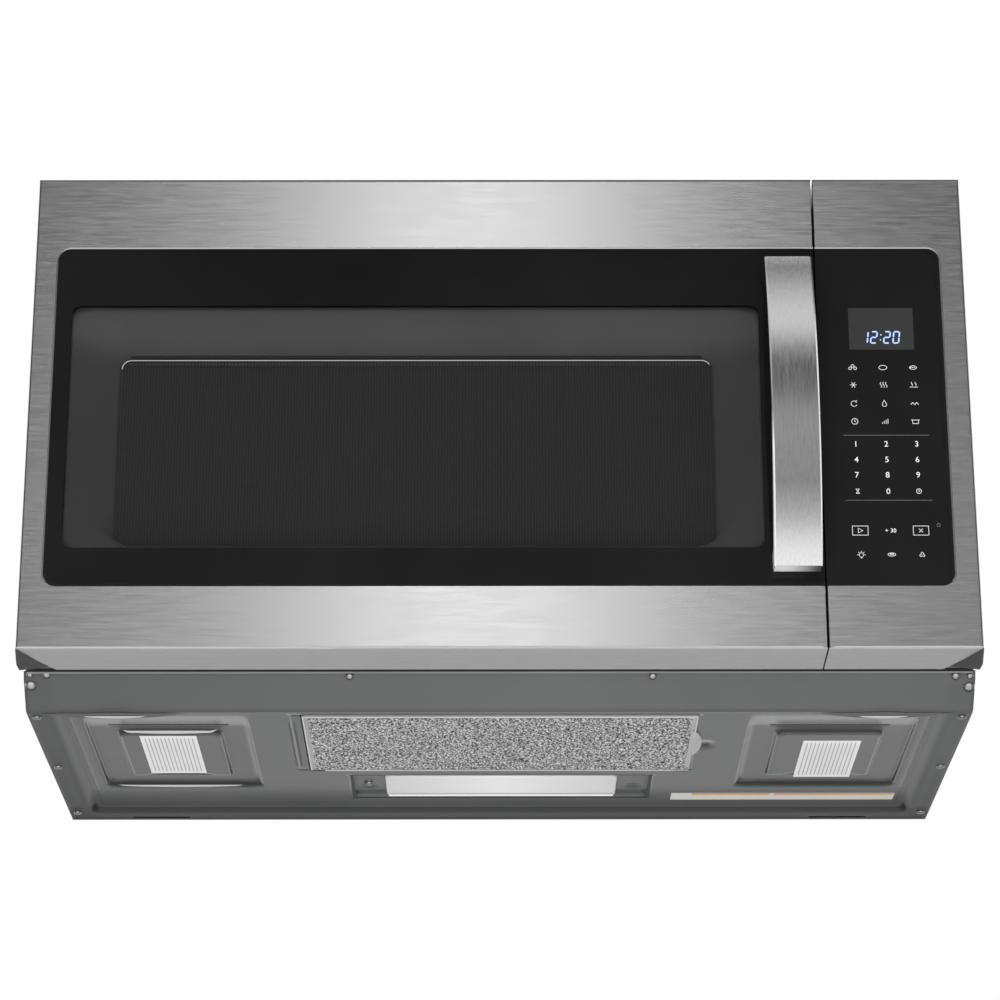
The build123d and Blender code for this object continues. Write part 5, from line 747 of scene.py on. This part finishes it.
# Places of the keys, by X and by the drop under the top edge.
KEY_COLUMNS = (285.4, 309.8, 334.2)
MARK_ROWS = (TOP - 168.3, TOP - 183.4, TOP - 199.8, TOP - 215.2)
DIGIT_ROWS = (TOP - 234.7, TOP - 248.1, TOP - 261.3, TOP - 275.3)
START_X, STOP_X, START_STOP_Z = (279.9, 292.3), (328.2, 340.4), (TOP - 312.6, TOP - 304.9)
LAMP_KEY, PLATE_KEY, FAN_KEY = (286.2, TOP - 329.6), (310.3, TOP - 329.0), (334.4, TOP - 329.2)
RULES_X, RULE_ROWS, LOCK = (275.5, 344.5), (TOP - 227.2, TOP - 283.0), (348.5, TOP - 304.0)
CLOCK_WINDOW, CLOCK_Z = ((283.5, 336.0), (TOP - 152.5, TOP - 115.7)), TOP - 141.7
CLOCK_DIGITS, COLON = (296.4, 303.7, 314.3, 321.8), 309.2
PRINT_LEVEL = GLASS_FACE - 0.05
THIN, DIGIT_SIZE = 0.42, 6.8


def drawn(*paths):
    return [(path, False) for path in paths]


def closed(*paths):
    return [(path, True) for path in paths]


def spokes(v, inner, outer, angles):
    """Straight lines from one radius to another about (0, v)."""
    return drawn(*([(r * math.cos(a), v + r * math.sin(a)) for r in (inner, outer)] for a in np.radians(angles)))


def cooking_marks():
    """Small plain signs for the cooking keys, each a list of (path, closed) about (0, 0)."""
    dots = closed(*(ring_path(u, v, 0.95, count=12) for u, v in ((-1.6, -0.5), (1.6, -0.5), (0, 1.2))))
    oval = closed(ring_path(0, 0, 2.6, 0.6))
    leaf = closed(np.concatenate([ring_path(0, -1.6, 2.9, 1, 34, 112, 9), ring_path(0, 1.6, 2.9, 1, 214, 112, 9)]))
    leaf += drawn([(-2.4, 0), (1.4, 0)])
    star = spokes(0, -2.1, 2.1, (0, 60, 120))
    steam = drawn(*(wave_path(u, 0, 3.8, 0.5, 1.0) for u in (-1.7, 0, 1.7)))
    warm = drawn(*(wave_path(u, 0.7, 2.4, 0.4, 1.0) for u in (-1.2, 1.2)), [(-2.6, -1.6), (2.6, -1.6)])
    again = drawn(ring_path(0, 0, 1.9, 1, 60, 280), [(1.9, 2.3), (0.9, 1.6), (1.6, 0.7)])
    drop = closed(np.concatenate([ring_path(0, -0.6, 1.4, 1, 150, 240, 14), [(0, 2.2)]]))
    zigzag = drawn([(-2.6, -0.8), (-1.3, 0.8), (0, -0.8), (1.3, 0.8), (2.6, -0.8)])
    clock = closed(ring_path(0, 0, 2.0)) + drawn([(0, 1.3), (0, 0), (0.9, -0.5)])
    bars = drawn(*([(u, -1.7), (u, top)] for u, top in ((-1.8, -0.6), (-0.6, 0.2), (0.6, 1.0), (1.8, 1.8))))
    pot = drawn([(-2.0, 0.9), (-1.7, -1.6), (1.7, -1.6), (2.0, 0.9)], [(-2.7, 0.9), (2.7, 0.9)])
    return [dots, oval, leaf, star, steam, warm, again, drop, zigzag, clock, bars, pot]


def strokes(marks, u, v, width=THIN, size=1.0):
    """The ribbons of a sign drawn about (u, v)."""
    made = []
    for path, closed in marks:
        made += ribbon(np.asarray(path, float) * size + (u, v), width, closed)
    return made


def key_print():
    """White signs for the cooking keys, and the keys below the digits."""
    shapes = []
    marks = cooking_marks()
    for (u, v), mark in zip([(u, v) for v in MARK_ROWS for u in KEY_COLUMNS], marks):
        shapes += strokes(mark, u, v, size=1.25)
    hourglass = closed([(-1.3, 1.8), (1.3, 1.8), (-1.3, -1.8), (1.3, -1.8)])
    for mark, u in ((hourglass, KEY_COLUMNS[0]), (marks[9], KEY_COLUMNS[2])):
        shapes += strokes(mark, u, DIGIT_ROWS[3])
    for box_x in (START_X, STOP_X):
        shapes += ribbon(rectangle(box_x, START_STOP_Z), 0.4, True)
    shapes += strokes(closed([(-1.6, -1.9), (2.0, 0), (-1.6, 1.9)]), middle(START_X), middle(START_STOP_Z), 0.35)
    crossed = drawn(*([(-1.5, -1.5 * tilt), (1.5, 1.5 * tilt)] for tilt in (1, -1)))
    shapes += strokes(crossed, middle(STOP_X), middle(START_STOP_Z), 0.4)
    lamp = drawn(ring_path(0, 0.4, 1.7, 1, -50, 280), [(-0.9, -1.5), (0.9, -1.5)], [(-0.7, -2.2), (0.7, -2.2)])
    plate = closed(ring_path(0, 0, 3.0, 0.45), ring_path(0, 0.3, 1.3, 0.45))
    blades = drawn(*(ring_path(1.1 * math.cos(a), 1.1 * math.sin(a), 0.95, 1, math.degrees(a) - 150, 250, 10)
                     for a in np.radians((90, 210, 330))))
    for mark, place in ((lamp + spokes(0.4, 2.4, 3.3, (0, 45, 90, 135, 180)), LAMP_KEY), (plate, PLATE_KEY),
                        (blades, FAN_KEY)):
        shapes += strokes(mark, *place)
    flat("key_signs", shapes, PRINT, "oven", "print_white", PRINT_LEVEL, True)


def dim_print():
    """Grey rules above and below the digits, and the lock sign."""
    shapes = [rectangle(RULES_X, grow((v, v), 0.16)) for v in RULE_ROWS]
    lock = closed(rectangle((-1.2, 1.2), (-1.4, 0.6))) + drawn(ring_path(0, 0.6, 0.8, 1.3, 0, 180, 9))
    flat("dim_signs", shapes + strokes(lock, *LOCK, 0.3), PRINT_DIM, "oven", "print_grey", PRINT_LEVEL, True)


def number_shape(text, size):
    """Points (x, z) and faces of a number in the built-in font, about the middle of its box."""
    curve = bpy.data.curves.new("number", "FONT")
    curve.body, curve.size, curve.offset = text, size, size * 0.004
    curve.resolution_u = 4
    letter = bpy.data.objects.new("number", curve)
    mesh = bpy.data.meshes.new_from_object(letter)
    places = np.empty(len(mesh.vertices) * 3)
    mesh.vertices.foreach_get("co", places)
    places = places.reshape(-1, 3)[:, :2]
    places = places - (places.min(0) + places.max(0)) / 2
    faces = [list(face.vertices) for face in mesh.polygons]
    bpy.data.objects.remove(letter)
    bpy.data.curves.remove(curve)
    bpy.data.meshes.remove(mesh)
    return places, faces


def key_digits():
    """The ten digits of the keypad and the plain 30 of the start key."""
    wanted = [(str(3 * row + column + 1), KEY_COLUMNS[column], DIGIT_ROWS[row], DIGIT_SIZE)
              for row in range(3) for column in range(3)]
    wanted += [("0", KEY_COLUMNS[1], DIGIT_ROWS[3], DIGIT_SIZE), ("+ 30", 310.3, TOP - 308.7, 4.9)]
    points, faces = [], []
    for text, u, v, size in wanted:
        places, made = number_shape(text, size)
        faces += [[index + len(points) for index in face] for face in made]
        points += [(u + a, PRINT_LEVEL, v + b) for a, b in places]
    piece("key_digits", points, faces, PRINT, "oven", "print_white", smooth=False)


SEGMENTS = {"1": "bc", "2": "abged", "0": "abcdef"}


def clock_digit(shown, u, v, width, height, thick, lean):
    """The seven-segment bars of one digit as six-cornered bars, leaning to the right."""
    w, h, t, gap = width / 2, height / 2, thick / 2, 0.18
    ends = {"a": ((-w, h), (w, h)), "b": ((w, h), (w, 0)), "c": ((w, 0), (w, -h)), "d": ((-w, -h), (w, -h)),
            "e": ((-w, 0), (-w, -h)), "f": ((-w, h), (-w, 0)), "g": ((-w, 0), (w, 0))}
    bars = []
    for name in SEGMENTS[shown]:
        start, end = np.array(ends[name], float)
        along = (end - start) / np.linalg.norm(end - start)
        side, tip = np.array([-along[1], along[0]]) * t, along * t
        start, end = start + along * gap, end - along * gap
        bar = [start, start + tip - side, end - tip - side, end, end - tip + side, start + tip + side]
        bars.append([(u + a + b * lean, v + b) for a, b in bar])
    return bars


def clock():
    """The lit clock behind its dark window: four digits and a colon."""
    boxes("display_window", [CLOCK_WINDOW], DISPLAY, PRINT_LEVEL, "oven", "display_dark", True)
    height, width, thick, lean = 10.0, 4.6, 1.15, 0.12
    bars = []
    for shown, u in zip("1220", CLOCK_DIGITS):
        bars += clock_digit(shown, u, CLOCK_Z, width, height, thick, lean)
    bars += [[tuple(p) for p in ring_path(COLON + v * lean, CLOCK_Z + v, 0.6, count=8)]
             for v in (-2.2, 2.2)]
    flat("clock_digits", bars, DIGIT, "oven", "display_light", PRINT_LEVEL - 0.05, True)


def underside_labels():
    """Blank labels on the pocket platforms, ruled with plain lines, and the blank strip behind them."""
    paper_level, ink_level = FLOOR - 0.12, FLOOR - 0.18
    papers = (((-297.0, -250.0), (-238.0, -129.0)), ((252.0, 300.0), (-223.0, -116.0)))
    boxes("blank_labels", papers, LABEL, paper_level, slot="label_paper")
    rules = [(grow((at, at), 0.5), grow(paper_y, -7.0)) for paper_x, paper_y in papers
             for at in np.linspace(*grow(paper_x, -4.0), 13)]
    boxes("label_rules", rules, LABEL_RULE, ink_level, slot="label_ink")
    strip_y = (-66.0, -45.0)
    boxes("blank_strip", [((150.0, 345.0), strip_y)], LABEL_STRIP, paper_level, slot="label_paper")
    band_y = (strip_y[0] + 1.0, strip_y[0] + 6.0)
    boxes("strip_bands", [((168.0, 236.0), band_y), ((240.0, 344.0), band_y)], LABEL_BAND, ink_level,
          slot="label_ink")


# Patches of painted highlight and painted shade on the underside: middle in X, length, near and far depth, taper of the
# ends, height over the sheet.
DART_GLINTS = ((-309.5, 50.0, -312.0, -305.5, 0.5, 0.6), (309.0, 40.0, -311.0, -304.5, 0.5, 0.6))
PRESSING_SHADES = ((-309.5, 118.0, -318.0, -304.0, 1.0, 0.4), (309.0, 112.0, -318.0, -303.5, 1.0, 0.4),
                   (-271.0, 100.0, -260.0, -249.0, 0.2, 0.25), (271.0, 100.0, -258.0, -248.0, 0.2, 0.25))
RAMP_GLINTS = ((-271.0, 78.0, -246.5, -243.5, 0.4, 0.4), (-275.5, 108.0, -89.5, -86.5, 0.4, 0.4))


def lens_patch(middle_x, length, near, far, taper, lift):
    """A strip between two depths, narrowed to its ends by a power of a cosine, over the bend or over the floor."""
    rows, columns = 5, 25
    u, v = np.meshgrid(np.linspace(-1, 1, columns), np.linspace(0, 1, rows))
    x = middle_x + u * length / 2
    y = near + v * (far - near) * np.cos(u * math.pi / 2) ** taper
    height = np.full(x.shape, BOTTOM) if far < POCKET_FADE[0] else underside_height(x, y)
    return np.stack([x, y, height - lift], -1).reshape(-1, 3), grid_faces(rows, columns)


def patches(name, wanted, finish):
    """Several lens patches as one piece."""
    points, faces = [], []
    for values in wanted:
        places, made = lens_patch(*values)
        faces += (made + len(points)).tolist()
        points += places.tolist()
    piece(name, points, faces, finish)


def pressing_glints():
    """Patches of painted highlight and painted shade where the bend's darts and the left pocket's ramps turn to the
    light.
    """
    patches("dart_glints", DART_GLINTS, PAINT_GLINT)
    patches("dart_shades", PRESSING_SHADES, PAINT_SHADE)
    patches("ramp_glints", RAMP_GLINTS, PAINT_GLINT)


def edge_strips():
    """A dark strip of painted shade in the gap and a light strip of painted light on the sheet edge under the lip, and
    a dark strip of painted shade along the rear edge of the underside.
    """
    boxes("front_gap", [((-377.0, 377.0), (-192.7, -189.7))], PAINTED_SHADOW, PLATE_FRONT - 0.15, upright=True)
    boxes("front_sheet_edge", [((-376.5, 376.5), (-194.2, -192.7))], PAINT_EDGE_LIGHT, PLATE_FRONT - 0.2, upright=True)
    boxes("rear_sheet_edge", [((-378.5, 378.5), (-5.5, -0.1))], PAINTED_SHADOW, BOTTOM - 0.4)


def corner_shades():
    """A dark folded sheet of painted shade under each end of the face, from the lip's mitre down and back to the case,
    where the case shows in shadow.
    """
    for side, name, body in ((-1, "door_corner_gusset", "door"), (1, "panel_corner_gusset", "oven")):
        outer = [(379.3, -397.8, -189.7), (379.3, -386.4, -199.0), (379.0, -372.0, -198.6)]
        inner = [(379.2, -397.8, -189.65), (368.0, -376.0, -190.6), (358.0, -354.0, -190.2)]
        points = [(side * x, y, z) for x, y, z in outer + inner]
        faces = [(0, 1, 4, 3), (1, 2, 5, 4)]
        piece(name, points, [face[::side] for face in faces], CORNER_SHADE, body, "brushed_steel", smooth=False,
              thickness=0.4)


# Screws on the slope: place in X, share of the way down the slope, radius.
SLOPE_SCREWS = ((-374.4, -0.12, 2.8), (-361.0, -0.12, 3.6), (-374.0, 0.20, 4.8), (-119.6, -0.06, 3.2),
                (122.0, -0.06, 3.2), (363.6, -0.06, 3.6), (375.0, -0.06, 2.8), (374.6, 0.26, 4.8))


def slope_screws():
    """Domed screw heads along the top of the slope: a flattened half ball turned about the slope's normal."""
    axis, side = np.array([0.0, -0.742, -0.670]), np.array([1.0, 0.0, 0.0])
    up = np.cross(axis, side)
    tilt, turn = np.radians(np.linspace(0, 90, 7)), np.radians(np.arange(0, 360, 20))
    out, high = np.cos(tilt), np.sin(tilt)
    points, faces = [], []
    for x, t, radius in SLOPE_SCREWS:
        y = SLOPE_TOP + t * (BEND - SLOPE_TOP)
        centre = np.array([x, y, BOTTOM + (BEND - y) * SLOPE_FALL])
        ring = out[:, None, None] * (np.cos(turn)[None, :, None] * side + np.sin(turn)[None, :, None] * up)
        dome = centre + radius * ring + radius * 0.5 * high[:, None, None] * axis
        faces += (grid_faces(len(tilt), len(turn), closed_columns=True) + len(points)).tolist()
        points += dome.reshape(-1, 3).tolist()
    made = piece("slope_screws", points, faces, SCREW, "oven", "screw_steel")
    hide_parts("front_screws")


def filter_trim():
    """Painted highlights on the rolled edges of the filter's rails, and painted shade in the gaps at its rear corners
    and in the channel's two grooves.
    """
    level = node_span("filter_frame", 2)[0] - 0.12
    front, rear = FILTER_Y
    rails = [((-160.0, 160.6), (front + 0.3, front + 4.5)), ((-148.0, 161.0), (rear - 3.2, rear - 0.2)),
             ((-160.2, -158.6), (front + 4.5, rear - 3.2)), ((160.0, 161.2), (front + 4.5, -236.0))]
    boxes("filter_rail_edges", rails, PAINT_GLINT, level, "grease_filter", "filter_aluminium")
    gaps = [((-160.3, -149.0), (rear - 2.8, rear - 0.1)), ((149.0, 161.0), (rear - 1.0, rear + 1.4))]
    boxes("filter_corner_gaps", gaps, PAINTED_SHADOW, level - 0.03, "grease_filter")
    grooves = [(grow((at, at), 0.45), (CHANNEL_Y[0] + 22, CHANNEL_Y[1] - 12)) for at in GROOVES_X]
    boxes("channel_grooves", grooves, PAINTED_SHADOW, FLOOR - 0.15)


def lens_edges():
    """Painted shade on the walls of the lamp's recess, and along the rear of the lens a dark line of painted shade at
    the fold and a painted highlight on the edge.
    """
    walls = [((LAMP_X[0] - 0.5, LAMP_X[0] + 2.6), LAMP_Y), ((LAMP_X[1] - 2.6, LAMP_X[1] + 0.5), LAMP_Y),
             (LAMP_X, (LAMP_Y[0] - 1.6, LAMP_Y[0] + 0.8))]
    boxes("lamp_recess_walls", walls, PAINTED_SHADOW, FLOOR - 0.12)
    for name, box_y, finish in (("lens_fold", (-60.5, -58.0), LABEL_RULE),
                                ("lens_bright_edge", (-55.5, -51.0), LENS_EDGE_HIGHLIGHT)):
        boxes(name, [(grow(LENS_X, -2.0), box_y)], finish, node_span("lamp_lens", 2)[0] - 0.05, slot="lens_white")


for build in (filter_trim, lens_edges, pressing_glints, edge_strips, corner_shades, slope_screws, key_print, dim_print,
              key_digits, clock, underside_labels):
    build()


# ------------------------------------------------------------------ thin edges
def glass_edge_path(end_x, seam, inset=0.0):
    """The opening's outline from the seam round the far end and back, with arcs at its corners, moved inwards."""
    side = -1 if end_x < seam else 1
    inner, radius = end_x - side * EDGE_RADIUS, EDGE_RADIUS - inset
    turn = np.radians(np.linspace(0, 90, 10))
    across, up = inner + side * radius * np.sin(turn), radius * np.cos(turn) - EDGE_RADIUS
    top, low = np.stack([across, EDGE_Z[1] + up], 1), np.stack([across, EDGE_Z[0] - up], 1)[::-1]
    return np.concatenate([[(seam, EDGE_Z[1] - inset)], top, low, [(seam, EDGE_Z[0] + inset)]])


EDGE_BEAD, EDGE_BEAD_POINTS = 0.8, 16
MARGIN_WIDTH, MARGIN_INSET = 3.6, 1.9


def edge_bead(name, end_x, seam, body):
    """A thin half-round bead along the opening's folded edge: a circle section carried along its outline."""
    path = glass_edge_path(end_x, seam)[:EDGE_BEAD_POINTS]
    ahead = np.gradient(path, axis=0)
    ahead /= np.linalg.norm(ahead, axis=1, keepdims=True)
    normal = np.stack([-ahead[:, 1], ahead[:, 0]], 1)
    turn = np.radians(np.arange(0, 360, 45))
    offset = EDGE_BEAD * np.cos(turn)
    depth = FRONT + 0.25 - EDGE_BEAD * np.sin(turn) * 0.9
    grid = path[:, None, :] + normal[:, None, :] * offset[None, :, None]
    points = np.stack([grid[..., 0], np.broadcast_to(depth, grid.shape[:2]), grid[..., 1]], -1)
    faces = grid_faces(len(path), len(turn), closed_columns=True)[:, ::-1]
    piece(name, points, faces, STEEL_EDGE, body, "brushed_steel")


def glass_margins():
    """The glass's black margin over the steel's folded edge, below both glasses and at the panel's end."""
    for name, end_x, seam, start, body in (("door_glass_margin", GLASS_LEFT, DOOR_SEAM, 11, "door"),
                                           ("panel_glass_margin", EDGE_RIGHT, PANEL_SEAM, 1, "oven")):
        path = glass_edge_path(end_x, seam, MARGIN_INSET)[start:]
        flat(name, ribbon(path, MARGIN_WIDTH), GLASS_PANEL, body, "black_glass", FRONT - 0.03, True)


def seam_edges():
    """The flat steel edges beside the seam between door and panel, above and below the glass."""
    heights = ((LIP_START - 0.4, EDGE_Z[0] - 0.3), (EDGE_Z[1] + 1.0, TOP - 1.6))
    for name, box_x, body in (("door_seam_edges", (253.4, 256.4), "door"),
                              ("panel_seam_edges", (258.6, 261.6), "oven")):
        boxes(name, [(box_x, box_z) for box_z in heights], STEEL_FACE, FRONT - 0.04, body, "brushed_steel", True)


def handle_foot():
    """The lower end of the handle in painted light: pale at the left, fading to dark at the right."""
    boxes("handle_foot", [((216.4, 253.4), (-411.6, -398.6))], HANDLE_END_LIGHT, node_span("door_handle", 2)[0] - 0.06,
          "door", "handle_steel")


def window_top(radius, turn, count):
    """The window's top edge from left to right, with arcs of a radius about its corners' middles."""
    (left, right), top = grow(WINDOW_X, -WINDOW_RADIUS), WINDOW_Z[1] - WINDOW_RADIUS
    return np.concatenate([ring_path(left, top, radius, 1, 180, -90, 10),
                           ring_path(right, top, radius, 1, 90, turn, count)])


def window_rim():
    """A thin line of painted highlight along the window's rim, and the dark slotted band along the top of the window.
    """
    y = node_span("door_bezel", 1)[1] - 1.1
    flat("window_rim", ribbon(window_top(WINDOW_RADIUS - 0.4, -60, 8), 0.8), PRINT, "door", "print_white", y, True)
    (left, right), top = grow(WINDOW_X, -6), WINDOW_Z[1]
    dashes = [((at, at + 1.5), (top - 5.0, top - 2.4)) for at in np.arange(left, right, 2.7)]
    boxes("slotted_band", dashes, PLASTIC_BEZEL, y, "door", "grey_plastic", True)


QUARTER = 89.999


def rounded_outline(box_x, box_z, radius, count=12):
    """Points round a rounded rectangle in X and Z, corner by corner, counter-clockwise from the right."""
    corners = ((1, 1, 0), (-1, 1, 90), (-1, -1, 180), (1, -1, 270))
    arcs = [ring_path(middle(box_x) + sx * (half(box_x) - radius), middle(box_z) + sz * (half(box_z) - radius),
                      radius, 1, start, QUARTER, count) for sx, sz, start in corners]
    return np.concatenate(arcs)


def bezel_face():
    """The moulding's sloping face: rounded rectangles from the mouth to the window, roundest half way."""
    front, back = node_span("door_bezel", 1)
    lift, roundest = 0.2, 26
    rings = []
    for t in np.linspace(0, 1, 13):
        box_x, box_z = (tuple(np.array(a) * (1 - t) + np.array(b) * t)
                        for a, b in ((MOUTH_X, WINDOW_X), (MOUTH_Z, WINDOW_Z)))
        radius = WINDOW_RADIUS + 4 * roundest * t * (1 - t)
        outline = rounded_outline(grow(box_x, -lift), grow(box_z, -lift), radius)
        rings.append(np.stack([outline[:, 0], np.full(len(outline), front + (back - front) * t), outline[:, 1]], 1))
    faces = grid_faces(len(rings), len(rings[0]), closed_columns=True)
    piece("bezel_face", np.array(rings), faces, PLASTIC_BEZEL, "door", "grey_plastic", thickness=0.15)


def window_step():
    """The step at the foot of the sloping face, over the window's top edge, with rounded ends, in a much darker copy of
    the moulding as painted shade.
    """
    front, back = node_span("door_bezel", 1)
    top, radius = WINDOW_Z[1], WINDOW_RADIUS
    steep = (back - front) / (MOUTH_Z[1] - top)
    low = window_top(radius, -80, 10)
    width = STEP_HEIGHT * np.clip((low[:, 1] - top + radius) / 2, 0, 1)
    across = low[:, 0] - middle(WINDOW_X)
    corner = np.clip(1 - (half(WINDOW_X) - np.abs(across)) / radius, 0, 1)
    high = low + np.stack([np.sign(across) * corner * width, width], 1)
    rows = [np.stack([line[:, 0], back - 0.8 - steep * width * climb, line[:, 1]], 1)
            for line, climb in ((high, 1.0), (low, 0.0))]
    piece("window_step", np.array(rows), grid_faces(2, len(low)), PLASTIC_STEP_SHADE, "door", "grey_plastic")


def fold_lines():
    """A dark line of painted shade along the fold at the top of each steel skin."""
    for name, box_x, body in (("door_top_fold", (-379.0, DOOR_SEAM), "door"),
                              ("panel_top_fold", (PANEL_SEAM, 379.0), "oven")):
        boxes(name, [(box_x, (TOP - 1.5, TOP - 0.1))], STEEL_SHADE, FRONT - 0.03, body, "brushed_steel", True)


bezel_face()
window_step()
fold_lines()
edge_bead("door_glass_edge", GLASS_LEFT, DOOR_SEAM, "door")
edge_bead("panel_glass_edge", EDGE_RIGHT, PANEL_SEAM, "oven")
for build in (glass_margins, seam_edges, handle_foot, window_rim):
    build()


# ------------------------------------------------------------------ camera
CAMERA_PLACE = (-0.00405, -2.90033, -1.01968)
CAMERA_PITCH, CAMERA_YAW, CAMERA_ROLL = 20.876, 0.1007, -0.0717
CAMERA_LENS, CAMERA_SENSOR = 121.175, 36.0


def place_camera():
    """The camera of the photograph: low in front, tilted up."""
    pitch, yaw, roll = (math.radians(a) for a in (CAMERA_PITCH, CAMERA_YAW, CAMERA_ROLL))
    ahead = np.array([math.sin(yaw) * math.cos(pitch), math.cos(yaw) * math.cos(pitch), math.sin(pitch)])
    right = np.array([math.cos(yaw), -math.sin(yaw), 0.0])
    down = np.cross(ahead, right)
    right, down = (right * math.cos(roll) - down * math.sin(roll), right * math.sin(roll) + down * math.cos(roll))
    data = bpy.data.cameras.new("camera")
    data.sensor_width, data.lens = CAMERA_SENSOR, CAMERA_LENS
    data.clip_start, data.clip_end = 0.05, 50.0
    camera = bpy.data.objects.new("camera", data)
    bpy.context.scene.collection.objects.link(camera)
    turn = Matrix([list(v) for v in np.stack([right, -down, -ahead], 1)])
    camera.matrix_world = Matrix.Translation(CAMERA_PLACE) @ turn.to_4x4()
    bpy.context.scene.camera = camera


# ------------------------------------------------------------------ light
def softbox(name, place, target, size, power):
    """A rectangular lamp at a place, facing a target."""
    data = bpy.data.lights.new(name, "AREA")
    data.shape, data.size, data.size_y, data.energy = "RECTANGLE", size[0], size[1], power
    lamp = bpy.data.objects.new(name, data)
    bpy.context.scene.collection.objects.link(lamp)
    lamp.location = place
    lamp.rotation_euler = (Vector(target) - Vector(place)).to_track_quat("-Z", "Y").to_euler()
    lamp.visible_glossy = lamp.visible_camera = False
    return lamp


def steel_lights():
    """Two lamps that only the steel sees: a tall narrow one for the face, a wide one from below for the lip."""
    seen = bpy.data.collections.new("steel_pieces")
    for made in bpy.data.objects:
        if made.type == "MESH" and STEEL_FACE.name in made.data.materials:
            seen.objects.link(made)
    tall = softbox("tall_light_for_steel", (-0.06, -6.0, 2.3), (0, -0.4, 0), (0.6, 3.0), STEEL_LIGHT)
    low = softbox("low_light_for_lip", (0.0, 1.1, -2.2), (0, -0.37, -0.19), (3.0, 1.0), LIP_LIGHT)
    for lamp in (tall, low):
        lamp.visible_glossy = True
        lamp.light_linking.receiver_collection = seen


# Brightness of the studio seen in gloss, by height of the ray (-1 straight down, 1 straight up).
STUDIO_FRONT = ((-1.0, 0.60), (-0.75, 0.75), (-0.42, 0.98), (-0.30, 0.98), (-0.14, 0.45), (0.0, 0.42), (0.16, 0.28),
                (0.33, 0.27), (0.44, 0.035), (0.58, 0.05), (0.67, 0.65), (0.80, 0.55), (0.90, 0.08))
STUDIO_BACK = ((-1.0, 0.10), (-0.80, 0.10), (-0.55, 0.12), (-0.38, 0.16), (-0.20, 0.50), (0.0, 1.0), (1.0, 1.0))
STUDIO_GAIN, STUDIO_AMBIENT = 1.4, 0.62
# Name, place, target, size and power of the lamps that everything sees.
LAMPS = (("key_above_front", (-0.2, -2.6, 2.0), (0, -0.4, 0), (1.4, 1.4), 42),
         ("fill_from_below", (0.0, -0.75, -1.3), (0, -0.3, -0.2), (2.4, 0.8), 4),
         ("fill_front_below", (0.0, -1.8, -1.4), (0, -0.3, -0.1), (2.4, 1.0), 15))
STEEL_LIGHT, LIP_LIGHT = 15.5, 190.0


def height_ramp(tree, height, stops):
    """A ramp through the stops of (height, level), with heights from -1 to 1."""
    return grey_ramp(tree, run(tree, height, -1.0, 1.0), [((at + 1) / 2, level) for at, level in stops])


def studio_world():
    """White to the camera; to gloss, a studio that is dark above and to the sides in front, white behind."""
    world = bpy.data.worlds.new("studio")
    bpy.context.scene.world = world
    world.use_nodes = True
    tree = world.node_tree
    split = add(tree, "ShaderNodeSeparateXYZ")
    wire(tree, add(tree, "ShaderNodeTexCoord"), "Generated", split, 0)
    sides = run(tree, maths(tree, "ABSOLUTE", (split, 0)), 0.25, 0.75, 1.0, 0.22, interpolation_type="SMOOTHSTEP")
    front = scaled(tree, height_ramp(tree, (split, 2), STUDIO_FRONT), sides)
    facing = run(tree, (split, 1), -0.15, 0.15)
    gloss = scaled(tree, mix(tree, facing, front, height_ramp(tree, (split, 2), STUDIO_BACK)), STUDIO_GAIN)
    rays = add(tree, "ShaderNodeLightPath")
    shiny = maths(tree, "MAXIMUM", (rays, "Is Glossy Ray"), (rays, "Is Transmission Ray"))
    ambient = mix(tree, shiny, (*grey(STUDIO_AMBIENT), 1), gloss)
    seen = mix(tree, (rays, "Is Camera Ray"), ambient, (1, 1, 1, 1))
    wire(tree, *seen, tree.nodes["Background"], "Color")


def studio_floor():
    """A plain pale floor under the object, which keeps its shadow."""
    reach, level = 6.0, -1.5
    mesh = bpy.data.meshes.new("studio_floor")
    mesh.from_pydata([(-reach, -reach, level), (reach, -reach, level), (reach, reach, level), (-reach, reach, level)],
                     [], [(0, 1, 2, 3)])
    floor = bpy.data.objects.new("studio_floor", mesh)
    bpy.context.scene.collection.objects.link(floor)
    mesh.materials.append(painted("pale_floor", 0.80, 0.82, 0.7))
    floor.visible_glossy = False


bpy.context.scene.view_settings.view_transform = "Standard"
place_camera()
studio_world()
studio_floor()
for lamp in LAMPS:
    softbox(*lamp)
steel_lights()
